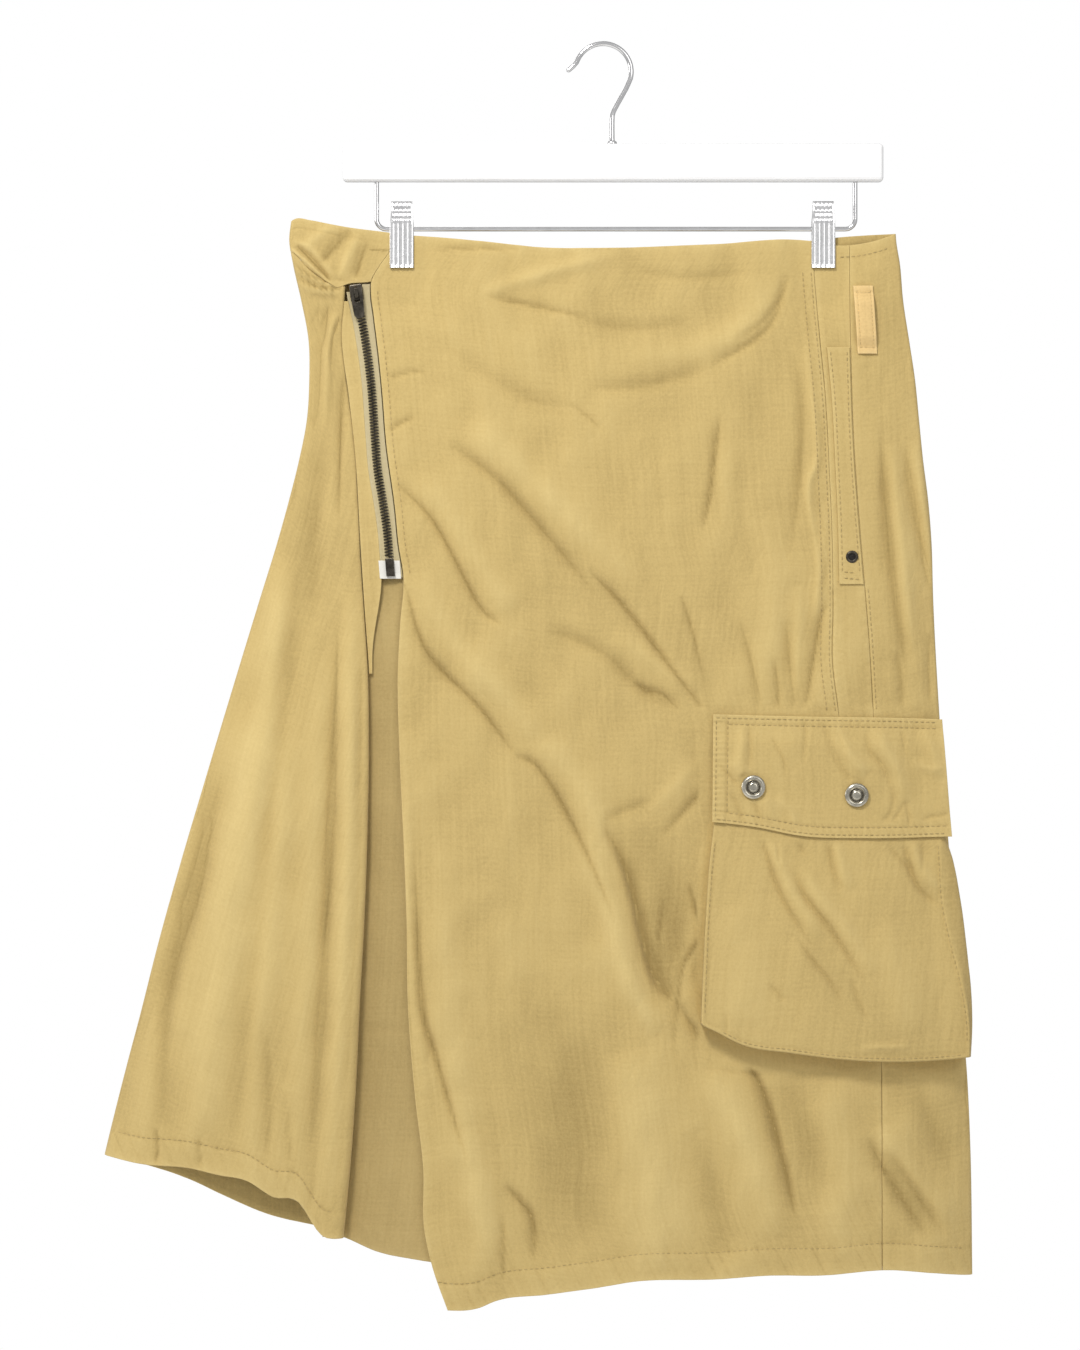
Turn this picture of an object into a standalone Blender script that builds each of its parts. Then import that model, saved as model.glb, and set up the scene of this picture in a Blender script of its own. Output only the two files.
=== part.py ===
"""A khaki cargo skirt hanging from a white clip hanger, one solid for each piece of it.

All sizes are millimetres until the meshes are made. x runs to the right and y to the back. drop is the
distance below the inside of the hook, so z = -drop, and the origin is where the hook is held.
The skirt is a flat ring at every height. ring_point gives that ring for an angle: -90 degrees is its left
edge, 0 the middle of the front, 90 the right edge and 180 the middle of the back.
"""
import math

import bmesh
import bpy
import numpy as np

MM = 0.001
CLOTH = 1.4  # thickness of each cloth wall
GAP = 0.3  # space between pieces that touch
SEAM = 0.25  # each panel stops this far short of a seam line
TAPE = 1.1  # thickness of the zip's tapes
EDGE_RADIUS = 2.2  # how the ring rounds at its left and right edges
BULGE_REACH = 34.0  # distance from an edge over which the ring gains most of its depth
QUARTER = math.pi / 2
BACK_WRAP = 0.24  # angle by which the left pieces reach round to the back
BACK_SEAM = 0.022  # angle left open at the seam there
HELD_REACH = 12.0  # distance from a side edge over which the clips' pressing sets in
TROUGH_SHARE = 0.55  # the part of the room inside that a trough may take
FOLD_DEPTH = 5.0  # the folds fade out where the cloth is nearer than this to the hanger's plane
FIRST_DROP, DROP_SPAN = 120.0, 680.0  # first guess of where a panel starts, and of its length
TOP_CROWDING = 0.22  # how much closer together the rows are near the waist

BAR_LEFT, BAR_RIGHT = -169.0, 182.0
BAR_TOP, BAR_BOTTOM, BAR_DEPTH = 63.7, 88.4, 12.0
ROD_LEFT, ROD_RIGHT, ROD_DROP, ROD_BEND, ROD_RADIUS = -147.2, 163.8, 119.0, 6.5, 1.5
ROD_STRAIGHT = 80.0  # from each end of the rod to the next point of its straight part
HOOK_RADIUS, HOOK_WIRE, STEM_ACROSS = 18.3, 1.6, 5.85
HOOK_FIRST, HOOK_LAST = -14.0, 160.0  # degrees of the hook's circle, from its right side over the top
COLLAR_RADIUS, COLLAR_HEIGHT = 3.0, 1.6
BAR_ROUNDING = 2.6
CLIP_ACROSS = (-130.8, 143.1)
CLIP_WIDTH, CLIP_TOP, CLIP_BOTTOM, CLIP_PLATE = 15.3, 101.0, 144.3, 1.3
CLIP_INSIDE = CLOTH + 1.5 * GAP  # half the space between a clip's jaws
CLIP_CROWN, CLIP_RIB, CLIP_RIBS = 2.4, 0.45, 3  # half its width over the rod, and its ribs
PINCH_WIDTH, PINCH_FLAT, PINCH_END, PINCH_SOFT = 22.0, 1.8, 170.0, 8.0

ZIP_TOP, ZIP_END = 156.0, 345.5
CHAIN_WIDTH, CHAIN_THICK, ZIP_SINK = 3.6, 1.7, 1.2
TAPE_CLEAR = 1.0  # from the zip's tapes and facing to the panels beside them
ZIP_LEAN = math.radians(8.0)  # how far the zip's top stretch leans from upright
SLIDER_ACROSS, SLIDER_DROP = -160.2, 160.5
SLIDER_WIDTH, SLIDER_LENGTH, SLIDER_THICK, SLIDER_ROUNDING = 8.6, 11.0, 3.4, 0.9
BAIL_WIDTH, BAIL_LENGTH, BAIL_RISE, BAIL_STOCK = 2.2, 7.6, 3.2, 1.0
BAIL_CORNER, BAIL_FOOT = 1.33, 0.5  # cut of its corners, and how far its feet go into the body
PULL_WIDTH, PULL_LENGTH, PULL_THICK, PULL_BAR, PULL_WINDOW = 7.6, 17.0, 1.2, 0.6, 5.6
WINDOW_CLEAR = 0.7  # from the bail to each side of the pull's window
PIVOT_STAND = 1.1  # from the slider's face to the pull's axis

SNAP_RADIUS, SNAP_RISE = 7.8, 2.4
EYELET_ACROSS, EYELET_DROP, EYELET_RADIUS, EYELET_HOLE = 161.2, 332.2, 4.0, 2.1
SIDE_PANEL_FOOT = 660.0
LEG_START, LEG_SHARE = 0.3, 0.9  # half the leg behind the roll: a bit, and a share of the roll's radius
UNDERLAP_TOP, UNDERLAP_LENGTH, UNDERLAP_LAP = 347.5, 430.0, 4.0
UNDERLAP_TUCK, UNDERLAP_SINK = 5.0, 2.2  # how far it goes behind the roll, and its space from it
WELT_THICK, WELT_TOP, WELT_FOOT, WELT_LEFT, WELT_RIGHT = 1.1, 196.0, 350.0, 4.0, 0.8
LOOP_TOP, LOOP_FOOT, LOOP_END, LOOP_CURVE = 156.0, 200.4, 4.0, 8.0
LOOP_ACROSS, LOOP_WIDTH, LOOP_SLOPE, LOOP_THICK, LOOP_RISE = 162.4, 12.8, 0.062, 1.3, 2.5
TAPE_REACH = 6.4  # from the middle of the teeth to the tape's left edge
TAPE_START, FACING_START = 12.0, 16.0  # how far below the zip's top its tapes and facing begin
CHAIN_FOOT, ZIP_BOX_TOP, ZIP_BOX_FOOT, ZIP_BOX_HALF = 333.0, 333.3, 344.8, 2.8
ZIP_BOX_LIFT, ZIP_BOX_THICK = 1.4, 1.9

POCKET_TOP, POCKET_LENGTH = 462.0, 190.0
POCKET_EDGE, POCKET_LAP, POCKET_RIM = 3.0, 6.0, 0.2  # where its gusset and its foot meet the cloth
POCKET_PLAIN, POCKET_SOFT = 516.0, 12.0  # no folds above this drop, and how soon they set in
GROUND_EDGE = 16.0  # the pocket leaves the skirt's curve this far from its right edge
FLAP_TOP_LIFT = GAP + CLOTH
FLAP_START, FLAP_LENGTH = 434.0, 80.0
FLAP_STEP, FLAP_STEP_LENGTH = 441.0, 15.0  # where the flap rises on to the pocket


def table(columns, *rows):
    """Named columns of a short table, one row for each section, edge point or fold."""
    return {name: np.array(values, dtype=float) for name, values in zip(columns.split(), zip(*rows))}


CLIP_OUTSIDE = table(  # a clip's outside, from its lip up: out from the plate's plane, and drop
    "out drop",
    (0.5, CLIP_BOTTOM), (0.1, CLIP_BOTTOM - 1.6), (0.0, CLIP_BOTTOM - 3.0), (0.0, 128.0), (0.0, 117.0),
    (0.3, 110.0), (-0.5, 103.6),
)
CLIP_FACE = table("out drop", (0.0, CLIP_BOTTOM), (0.0, 128.0), (0.0, 117.0), (-0.2, 106.0))
HOOK_STEM = table(  # the hook's wire from the bar up to its circle
    "across drop",
    (STEM_ACROSS, 59.7), (STEM_ACROSS, 48.0), (6.4, 43.5), (8.8, 38.6), (12.0, 32.8), (15.2, 27.0),
)
HOOK_TIP = table("across drop", (-19.6, 13.2), (-22.6, 15.6))
BODY = table(
    "drop left right depth",
    (112, -202.5, 190.0, 4.8),
    (126, -204.0, 190.5, 5.0),
    (142, -201.5, 193.0, 5.6),
    (165, -196.3, 195.0, 6.4),
    (191, -191.5, 198.9, 7.2),
    (217, -191.0, 202.8, 8.0),
    (243, -192.6, 205.4, 8.6),
    (269, -197.6, 208.0, 9.4),
    (295, -204.1, 211.3, 10.2),
    (321, -211.3, 213.4, 11.0),
    (360, -223.3, 214.6, 12.2),
    (425, -243.1, 218.0, 14.0),
    (477, -258.7, 221.5, 15.4),
    (530, -274.4, 225.5, 16.8),
    (581, -288.6, 229.5, 18.2),
    (633, -301.8, 233.5, 19.6),
    (660, -309.0, 236.0, 20.2),
    (711, -321.8, 238.6, 21.4),
    (790, -339.5, 239.9, 23.0),
    (822, -346.0, 240.2, 23.6),
)
FRONT_LEFT_EDGE = table(  # left edge of the front panel, beside the zip and down the pleat
    "drop across",
    (112, -135.9), (122, -139.5), (132.5, -143.2), (143, -147.0), (153, -150.6), (160, -150.9),
    (176, -149.0), (200, -146.0), (230, -143.1),
    (257, -141.0), (300, -135.2), (326, -132.6), (345, -129.6), (375, -131.6), (407, -133.2),
    (462, -132.0), (517, -129.4), (571, -127.4), (620, -126.6), (684, -121.6), (727, -116.6),
    (769, -115.6), (792, -110.4), (820, -100.4),
)
LEFT_ROLL_EDGE = table(  # right edge of the left panel, and the radius of its roll
    "drop across roll",
    (150, -166.6, 1.8), (166, -167.7, 1.8), (185, -169.4, 1.8), (230, -164.5, 1.8),
    (266, -160.6, 1.9), (321, -157.3, 2.1), (372, -154.0, 2.5), (407, -151.6, 2.9),
    (443, -150.8, 3.3), (516, -151.5, 4.3), (571, -153.4, 5.0), (620, -156.0, 5.6),
    (670, -158.2, 6.2), (727, -162.0, 6.8), (775, -166.6, 7.2),
)
FIRST_SEAM = table(  # seam between the front panel and the front side panel
    "drop across",
    (120, 136.2), (145, 137.0), (165, 138.5), (188, 140.4), (230, 144.3), (282, 146.9),
    (306, 148.0), (369, 148.9), (398, 148.4), (436, 152.8), (500, 160.0), (560, 168.0),
    (620, 174.0), (640, 176.2), (700, 182.0), (820, 190.0),
)
SIDE_SEAM = table(  # seam between the front side panel and the back panel
    "drop across",
    (120, 160.0), (200, 160.8), (260, 162.8), (317, 166.8), (344, 169.0), (387, 172.4),
    (432, 175.0), (520, 177.6), (659, 180.0), (810, 180.4),
)
ZIP_LINE = table(  # middle of the zip's teeth
    "drop across",
    (150, -161.6), (159, -160.5), (182, -156.0), (218, -150.8), (253, -148.2), (276, -146.3),
    (296, -143.0), (317, -140.0), (333, -138.7), (346, -137.6),
)
FRONT_TOP = table(
    "across drop",
    (-140, 122.6), (-121, 123.4), (-80, 127.0), (-36, 131.3), (5, 131.4), (70, 129.2),
    (135, 126.8), (151, 129.6), (168, 128.6), (183, 124.8), (190, 122.0),
)
BACK_TOP = table(
    "across drop",
    (-204, 114.2), (-160, 119.8), (-150, 122.8), (-120, 124.4), (-36, 133.4), (5, 133.6),
    (130, 127.0), (152, 124.4), (180, 122.4), (190, 122.0),
)
YOKE_TOP = table(
    "across drop",
    (-204, 113.6), (-201, 112.6), (-161, 117.7), (-152, 120.0), (-148, 122.2), (-138, 122.6),
)
YOKE_FOOT = table(
    "across drop",
    (-205, 133.2), (-202, 134.2), (-190.5, 145.6), (-178, 154.6), (-173.6, 157.0),
    (-165, 154.8), (-156, 154.0), (-150, 153.0), (-139, 141.0),
)
FRONT_HEM = table(
    "across drop",
    (-112, 817.5), (-100, 819.2), (-80, 817.6), (-71, 813.8), (-36, 809.0), (-6, 805.0),
    (23, 800.4), (70, 799.4), (105, 797.0), (141, 796.8), (186, 793.8), (212, 796.0),
    (238, 798.4), (241, 798.5),
)
LEFT_HEM = table(
    "across drop",
    (-324, 720.6), (-301, 725.4), (-268, 728.0), (-248, 732.4), (-230, 736.0), (-214, 746.0),
    (-195, 751.8), (-190, 760.0), (-184, 769.0), (-166, 773.0),
)
UNDERLAP_HEM = table(
    "across drop",
    (-185, 769.5), (-168, 773.8), (-148, 782.0), (-123, 787.0), (-100, 790.0),
)
BACK_HEM = table(
    "across drop",
    (-324, 721.0), (-301, 727.5), (-268, 739.0), (-248, 748.8), (-220, 761.0), (-185, 769.2),
    (-110, 787.0), (0, 793.0), (120, 794.0), (200, 796.0), (241, 798.5),
)
FRONT_FOLDS = table(  # soft folds of the front: three points, half width and height outwards
    "x0 d0 x1 d1 x2 d2 width height",
    (-129, 350, -106, 405, -60, 458, 10, -4.0),
    (-60, 458, -24, 474, 14, 575, 12, -4.5),
    (-118, 346, -84, 396, -44, 446, 10, 3.0),
    (-134, 284, -104, 316, -66, 376, 10, -2.6),
    (-92, 261, -8, 322, 68, 437, 12, -4.2),
    (-76, 256, 14, 312, 84, 424, 13, 3.2),
    (1, 396, 25, 418, 52, 432, 8, -2.4),
    (0, 504, 18, 592, 56, 637, 11, -5.5),
    (-16, 512, 0, 600, 34, 652, 13, 4.0),
    (84, 668, 112, 690, 124, 757, 10, -4.6),
    (66, 672, 94, 708, 106, 768, 12, 3.2),
    (118, 150, 106, 213, -8, 222, 13, -2.8),
    (-107, 190, -62, 222, -18, 238, 12, -2.2),
    (78, 238, 70, 270, 66, 312, 10, -2.0),
    (-80, 160, -34, 148, 12, 137, 8, 1.6),
    (134, 196, 134, 260, 134, 330, 6, 2.0),
    (120, 340, 118, 390, 116, 432, 8, -1.8),
    (-98, 480, -92, 620, -74, 800, 24, 3.4),
    (-64, 740, -46, 752, -46, 800, 8, -2.4),
    (20, 650, 30, 720, 40, 795, 22, 3.0),
    (168, 700, 186, 740, 212, 776, 9, -3.0),
)
LEFT_FOLDS = table(
    "x0 d0 x1 d1 x2 d2 width height",
    (-172, 330, -175, 560, -191, 768, 9, 3.6),
    (-192, 420, -204, 600, -222, 735, 12, -4.0),
    (-243, 486, -262, 560, -287, 650, 14, -3.4),
    (-226, 430, -244, 590, -262, 728, 15, 4.0),
    (-178, 172, -184, 205, -187, 250, 5, -1.6),
    (-205, 330, -216, 450, -232, 560, 12, 2.6),
)
YOKE_FOLDS = table(
    "x0 d0 x1 d1 x2 d2 width height",
    (-204, 127, -190, 137, -174, 153, 2.6, 1.3),
    (-204, 136, -192, 144, -175, 155, 2.4, 1.2),
    (-196, 118, -180, 130, -168, 152, 5.0, 1.2),
    (-160, 122, -158, 136, -160, 152, 5.0, 0.9),
)
BACK_FOLDS = table(
    "x0 d0 x1 d1 x2 d2 width height",
    (-120, 200, -150, 420, -210, 740, 18, 4.0),
    (-70, 240, -90, 470, -130, 770, 20, -4.0),
    (-20, 260, -30, 500, -60, 780, 20, 4.2),
    (40, 250, 44, 500, 30, 780, 20, -3.8),
    (95, 230, 110, 480, 104, 780, 19, 4.0),
    (150, 260, 168, 480, 172, 780, 17, -3.4),
    (-205, 380, -236, 540, -268, 720, 15, -3.2),
    (-120, 160, -40, 215, 60, 190, 12, -2.0),
)
CALM = table(  # places where a flat piece lies on the cloth, so its folds fade out
    "left right top foot soft",
    (62, 250, 430, 664, 6),
    (146, 180, 118, 352, 3),
    (158, 182, 150, 206, 4),
)
POCKET_SIDES = table(
    "drop left right bulge",
    (455, 73.4, 213.0, 215.6), (500, 72.0, 217.0, 219.8), (515, 70.4, 218.6, 222.4),
    (530, 68.6, 219.4, 227.4), (556, 66.6, 221.0, 232.6), (581, 65.2, 226.0, 235.6),
    (610, 63.8, 233.0, 238.0), (633, 63.0, 236.5, 238.4), (660, 63.0, 236.6, 237.4),
)
POCKET_FOOT = table(
    "across drop",
    (60, 632), (63, 634), (73, 639), (89, 647), (121, 652.5), (157, 657), (194, 658.5),
    (235, 656), (242, 655),
)
POCKET_STAND = table(  # how far the pocket's face stands out from the cloth
    "drop stand", (455, 2.4), (500, 3.4), (530, 5.4), (570, 8.8), (610, 12.0), (640, 13.0), (665, 12.0),
)
POCKET_FOLDS = table(
    "x0 d0 x1 d1 x2 d2 width height",
    (106, 520, 116, 560, 138, 594, 7, 1.8),
    (128, 532, 152, 576, 172, 608, 7, 2.2),
    (146, 520, 150, 536, 156, 556, 6, 1.4),
    (196, 522, 202, 546, 216, 556, 6, 1.4),
    (124, 584, 138, 606, 156, 628, 7, 1.6),
)
FLAP_SIDES = table("drop left right", (432, 71.2, 219.4), (515, 70.2, 226.0))
FLAP_TOP = table("across drop", (70, 434.2), (120, 435.4), (220, 437.6), (228, 438.0))
FLAP_FOOT = table(
    "across drop",
    (69, 503.6), (97, 507.0), (129, 513.0), (170, 514.4), (228, 513.4),
)
FLAP_FOLDS = table(
    "x0 d0 x1 d1 x2 d2 width height",
    (118, 446, 134, 462, 146, 478, 6, 1.5),
    (172, 448, 192, 474, 194, 500, 6, 1.7),
    (78, 472, 84, 484, 84, 500, 4, 1.0),
    (196, 452, 210, 470, 212, 500, 6, 1.4),
    (118, 484, 126, 496, 136, 506, 6, 1.3),
)
SNAPS = table("across drop", (96.9, 481.3), (163.8, 486.5))
SNAP_FLAT, SNAP_CALM = 8.5, 13.0  # the flap is flat up to the first radius, folded from the second
SNAP_PROFILE = table(  # shares of the snap's radius and rise: its rim, crown, groove and stud
    "radius rise",
    (0.96, 0.0), (1.0, 0.29), (0.94, 0.63), (0.78, 1.0), (0.58, 0.9), (0.5, 0.33), (0.32, 0.33),
    (0.26, 0.71), (0.12, 0.79),
)
EYELET_CROWN, EYELET_STEP, EYELET_LIP, EYELET_RISE = 3.1, 0.4, 0.6, 0.95


def smooth(places, points, heights):
    """Cubic curve through the points, whose slope at each comes from its neighbours."""
    places = np.asarray(places, dtype=float)
    slopes = np.gradient(heights, points)
    index = np.clip(np.searchsorted(points, places) - 1, 0, len(points) - 2)
    step = points[index + 1] - points[index]
    part = np.clip((places - points[index]) / step, 0.0, 1.0)
    start = heights[index] * (2 * part**3 - 3 * part**2 + 1)
    leave = slopes[index] * step * (part**3 - 2 * part**2 + part)
    end = heights[index + 1] * (3 * part**2 - 2 * part**3)
    arrive = slopes[index + 1] * step * (part**3 - part**2)
    return start + leave + end + arrive


def across(rows, drop, column="across"):
    """A column of a table that is listed by drop."""
    return smooth(drop, rows["drop"], rows[column])


def drop_at(rows, x):
    """The drop of a table that is listed from left to right."""
    return smooth(x, rows["across"], rows["drop"])


def ease(value):
    """0 to 1 with a soft start and end."""
    value = np.clip(value, 0.0, 1.0)
    return value * value * (3 - 2 * value)


def middle_and_reach(drop):
    """The ring's middle and half its width."""
    left, right = across(BODY, drop, "left"), across(BODY, drop, "right")
    return (left + right) / 2, (right - left) / 2


def pressed(x, drop):
    """1 where a clip presses front and back together, falling to 0 away from the clips."""
    near = sum(np.exp(-(((x - clip) / PINCH_WIDTH) ** 2)) for clip in CLIP_ACROSS)
    return np.clip(PINCH_FLAT * near / (1 + np.exp((drop - PINCH_END) / PINCH_SOFT)), 0.0, 1.0)


def body_depth(x, drop):
    """Distance of the cloth's outer face from the hanger's plane: a rounded edge, then a soft bulge.

    It is pressed flat at the clips.
    """
    left, right = across(BODY, drop, "left"), across(BODY, drop, "right")
    inside = np.maximum(np.minimum(x - left, right - x), 0.0)
    rounded = np.sqrt(EDGE_RADIUS**2 - (EDGE_RADIUS - np.minimum(inside, EDGE_RADIUS)) ** 2)
    bulge = (across(BODY, drop, "depth") - EDGE_RADIUS) * (1 - np.exp(-inside / BULGE_REACH))
    held = ease(inside / HELD_REACH) * pressed(x, drop)
    plain = rounded + bulge
    return plain + held * (CLOTH + GAP / 2 - plain)


def angle_at(x, drop):
    """The ring's angle on the front where it crosses x."""
    middle, reach = middle_and_reach(drop)
    return np.arcsin(np.clip((x - middle) / reach, -1.0, 1.0))


def ring_point(angle, drop):
    """x and y of the unfolded ring at an angle."""
    middle, reach = middle_and_reach(drop)
    x = middle + reach * np.sin(angle)
    return x, -np.sign(np.cos(angle)) * body_depth(x, drop)


def ring_inward(angle, drop):
    """Unit direction into the skirt, square to the unfolded ring."""
    nudge = 0.012
    ahead_x, ahead_y = ring_point(angle + nudge, drop)
    behind_x, behind_y = ring_point(angle - nudge, drop)
    along_x, along_y = ahead_x - behind_x, ahead_y - behind_y
    length = np.hypot(along_x, along_y)
    return -along_y / length, along_x / length


def fold_height(x, drop, folds):
    """Sum of soft ridges and troughs, each falling off with the distance from its curved line."""
    total = np.zeros(np.broadcast(x, drop).shape)
    part = np.linspace(0.0, 1.0, 13)
    for row in zip(*folds.values()):
        x0, d0, x1, d1, x2, d2, width, height = row
        line_x = x0 * (1 - part) ** 2 + 2 * x1 * part * (1 - part) + x2 * part**2
        line_d = d0 * (1 - part) ** 2 + 2 * d1 * part * (1 - part) + d2 * part**2
        strength = 1 - np.abs(2 * part - 1) ** 4
        away = (x[..., None] - line_x) ** 2 + (drop[..., None] - line_d) ** 2
        total += height * np.max(strength * np.exp(-away / width**2), axis=-1)
    return total


def calm(x, drop):
    """1 on open cloth, falling to 0 where a flat piece lies on it."""
    free = np.ones(np.broadcast(x, drop).shape)
    for left, right, top, foot, soft in zip(*CALM.values()):
        side = ease((x - left) / soft + 1) * ease((right - x) / soft + 1)
        free = free * (1 - side * ease((drop - top) / soft + 1) * ease((foot - drop) / soft + 1))
    return free


def held_folds(x, drop, folds):
    """Fold height on the body: none at the clips or the edges, and no trough meets the other side."""
    depth = body_depth(x, drop)
    height = fold_height(x, drop, folds) * calm(x, drop) * (1 - pressed(x, drop))
    room = np.maximum(depth - CLOTH - GAP, 0.0)
    return np.maximum(height, -TROUGH_SHARE * room) * ease(depth / FOLD_DEPTH)


def body_grid(start, end, top, hem, folds, columns, rows, lift=0.0):
    """Outer points and inward directions of a panel, as rows from its top to its hem.

    start and end give the ring's angle at a drop. top and hem give the drop at an x and an angle. The drop
    of a point depends on its x and the other way round, so both are worked out in a few passes.
    """
    along = np.linspace(0.0, 1.0, columns)[None, :]
    down = np.linspace(0.0, 1.0, rows)[:, None]
    down = down * (1 - TOP_CROWDING + TOP_CROWDING * down)
    drop = FIRST_DROP + DROP_SPAN * down + 0.0 * along
    for _ in range(12):
        angle = start(drop) * (1 - along) + end(drop) * along
        x, y = ring_point(angle, drop)
        drop = top(x, angle) * (1 - down) + hem(x, angle) * down
    inward_x, inward_y = ring_inward(angle, drop)
    y = y - np.sign(np.cos(angle)) * held_folds(x, drop, folds)
    outer = np.stack([x - lift * inward_x, y - lift * inward_y, -drop], axis=-1)
    inward = np.stack([inward_x, inward_y, np.zeros_like(drop)], axis=-1)
    return outer, inward


def front_point(x, drop, lift=0.0):
    """A point on the front of the unfolded ring, moved straight out by lift."""
    return np.stack([x + 0.0 * drop, -body_depth(x, drop) - lift, -drop + 0.0 * x], axis=-1)


def material(name, colour, roughness, metallic=0.0):
    """A plain finish with this colour."""
    made = bpy.data.materials.get(name)
    if made is None:
        made = bpy.data.materials.new(name)
        made.use_nodes = True
        shader = made.node_tree.nodes["Principled BSDF"]
        shader.inputs["Base Color"].default_value = (*colour, 1.0)
        shader.inputs["Roughness"].default_value = roughness
        shader.inputs["Metallic"].default_value = metallic
    return made


def cloth():
    return material("khaki_cotton", (0.56, 0.45, 0.22), 0.85)


def pale_cloth():
    return material("khaki_loop", (0.66, 0.49, 0.24), 0.85)


def tape():
    return material("zip_tape", (0.50, 0.43, 0.26), 0.8)


def dark_metal():
    return material("dark_brass", (0.16, 0.13, 0.09), 0.35, 1.0)


def bright_metal():
    return material("polished_steel", (0.72, 0.72, 0.70), 0.2, 1.0)


def white_paint():
    return material("white_paint", (0.86, 0.86, 0.86), 0.35)


def add_object(name, mesh, finish):
    """Put a mesh, with its finish, into the scene."""
    mesh.materials.append(finish)
    made = bpy.data.objects.new(name, mesh)
    bpy.context.scene.collection.objects.link(made)
    return made


def mesh_of(name, points, faces, finish, origin=(0.0, 0.0, 0.0)):
    """A smooth shaded object from points in millimetres, with its own origin."""
    mesh = bpy.data.meshes.new(name)
    local = (np.asarray(points, dtype=float) - origin) * MM
    mesh.from_pydata(local.tolist(), [], [tuple(int(i) for i in face) for face in faces])
    mesh.shade_smooth()
    made = add_object(name, mesh, finish)
    made.location = tuple(value * MM for value in origin)
    return made


def wall(name, outer, inner, finish):
    """A closed sheet: the outer grid, the inner grid and a rim between their borders.

    Both grids are cut along the same diagonals, the shorter ones, so a steep fold keeps its thickness.
    """
    rows, columns = outer.shape[:2]
    count = rows * columns
    index = np.arange(count).reshape(rows, columns)
    corners = (index[:-1, :-1], index[1:, :-1], index[1:, 1:], index[:-1, 1:])
    one, two, three, four = (corner.reshape(-1) for corner in corners)
    flat = outer.reshape(-1, 3)
    falling = np.linalg.norm(flat[one] - flat[three], axis=1)
    rising = np.linalg.norm(flat[two] - flat[four], axis=1)
    split = (falling < rising)[:, None]
    first = np.where(split, np.stack([one, two, three], -1), np.stack([one, two, four], -1))
    second = np.where(split, np.stack([one, three, four], -1), np.stack([two, three, four], -1))
    outside = np.concatenate([first, second])
    inside = outside[:, ::-1] + count
    border = np.concatenate([index[0, :-1], index[:-1, -1], index[-1, :0:-1], index[:0:-1, 0]])
    following = np.roll(border, -1)
    rim = np.stack([border, following, following + count, border + count], axis=-1)
    points = np.concatenate([flat, inner.reshape(-1, 3)])
    return mesh_of(name, points, outside.tolist() + inside.tolist() + rim.tolist(), finish)


def panel(name, outer, inward, finish, thickness=CLOTH):
    """A cloth wall from its outer points and the direction of its thickness."""
    return wall(name, outer, outer + inward * thickness, finish)


def front_right(drop):
    """Right edge of the front panel: the first seam, until that seam runs into the side seam."""
    return np.minimum(across(FIRST_SEAM, drop), across(SIDE_SEAM, drop))


def make_front_panel():
    outer, inward = body_grid(
        lambda drop: angle_at(across(FRONT_LEFT_EDGE, drop) + SEAM, drop),
        lambda drop: angle_at(front_right(drop) - SEAM, drop),
        lambda x, angle: drop_at(FRONT_TOP, x),
        lambda x, angle: drop_at(FRONT_HEM, x),
        FRONT_FOLDS, 26, 29,
    )
    panel("front_panel", outer, inward, cloth())


def make_front_side_panel():
    outer, inward = body_grid(
        lambda drop: angle_at(across(FIRST_SEAM, drop) + SEAM, drop),
        lambda drop: angle_at(across(SIDE_SEAM, drop) - SEAM, drop),
        lambda x, angle: drop_at(FRONT_TOP, x),
        lambda x, angle: SIDE_PANEL_FOOT + 0.0 * x,
        FRONT_FOLDS, 4, 22,
    )
    panel("front_side_panel", outer, inward, cloth())


def make_back_panel():
    outer, inward = body_grid(
        lambda drop: angle_at(across(SIDE_SEAM, drop) + SEAM, drop),
        lambda drop: 3 * QUARTER - BACK_WRAP + 0.0 * drop,
        lambda x, angle: np.where(angle < QUARTER, drop_at(FRONT_TOP, x), drop_at(BACK_TOP, x)),
        lambda x, angle: np.where(angle < QUARTER, drop_at(FRONT_HEM, x), drop_at(BACK_HEM, x)),
        BACK_FOLDS, 34, 18,
    )
    panel("back_panel", outer, inward, cloth())


def left_start(drop):
    """Angle on the back where the left pieces begin, a seam's gap from the back panel."""
    return -QUARTER - BACK_WRAP + BACK_SEAM + 0.0 * drop


def rolled_edge(outer, inward):
    """Carry a left panel on round its roll: half a turn, then a short leg behind.

    The roll's middle is one radius behind the panel's last column, and the leg runs back to the left.
    """
    drop = -outer[:, -1, 2]
    radius = across(LEFT_ROLL_EDGE, drop, "roll")[:, None]
    turn = np.radians([30.0, 60.0, 90.0, 120.0, 150.0, 180.0])[None, :]
    last_x, last_y = outer[:, -1:, 0], outer[:, -1:, 1]
    roll_x = last_x + radius * np.sin(turn)
    roll_y = last_y + radius * (1 - np.cos(turn))
    leg = np.array([0.5, 1.0])[None, :] * (LEG_START + LEG_SHARE * radius)
    leg_x = last_x - leg
    leg_y = last_y + 2 * radius + 0.0 * leg
    x = np.concatenate([roll_x, leg_x], axis=1)
    y = np.concatenate([roll_y, leg_y], axis=1)
    z = outer[:, -1:, 2] + 0.0 * x
    turns = np.concatenate([turn + 0.0 * radius, np.pi + 0.0 * leg_x], axis=1)
    direction = np.stack([-np.sin(turns), np.cos(turns), 0.0 * turns], axis=-1)
    more = np.stack([x, y, z], axis=-1)
    return np.concatenate([outer, more], axis=1), np.concatenate([inward, direction], axis=1)


def roll_start(drop):
    """Where the left panel's flat part ends and its roll begins."""
    return across(LEFT_ROLL_EDGE, drop) - across(LEFT_ROLL_EDGE, drop, "roll")


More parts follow.
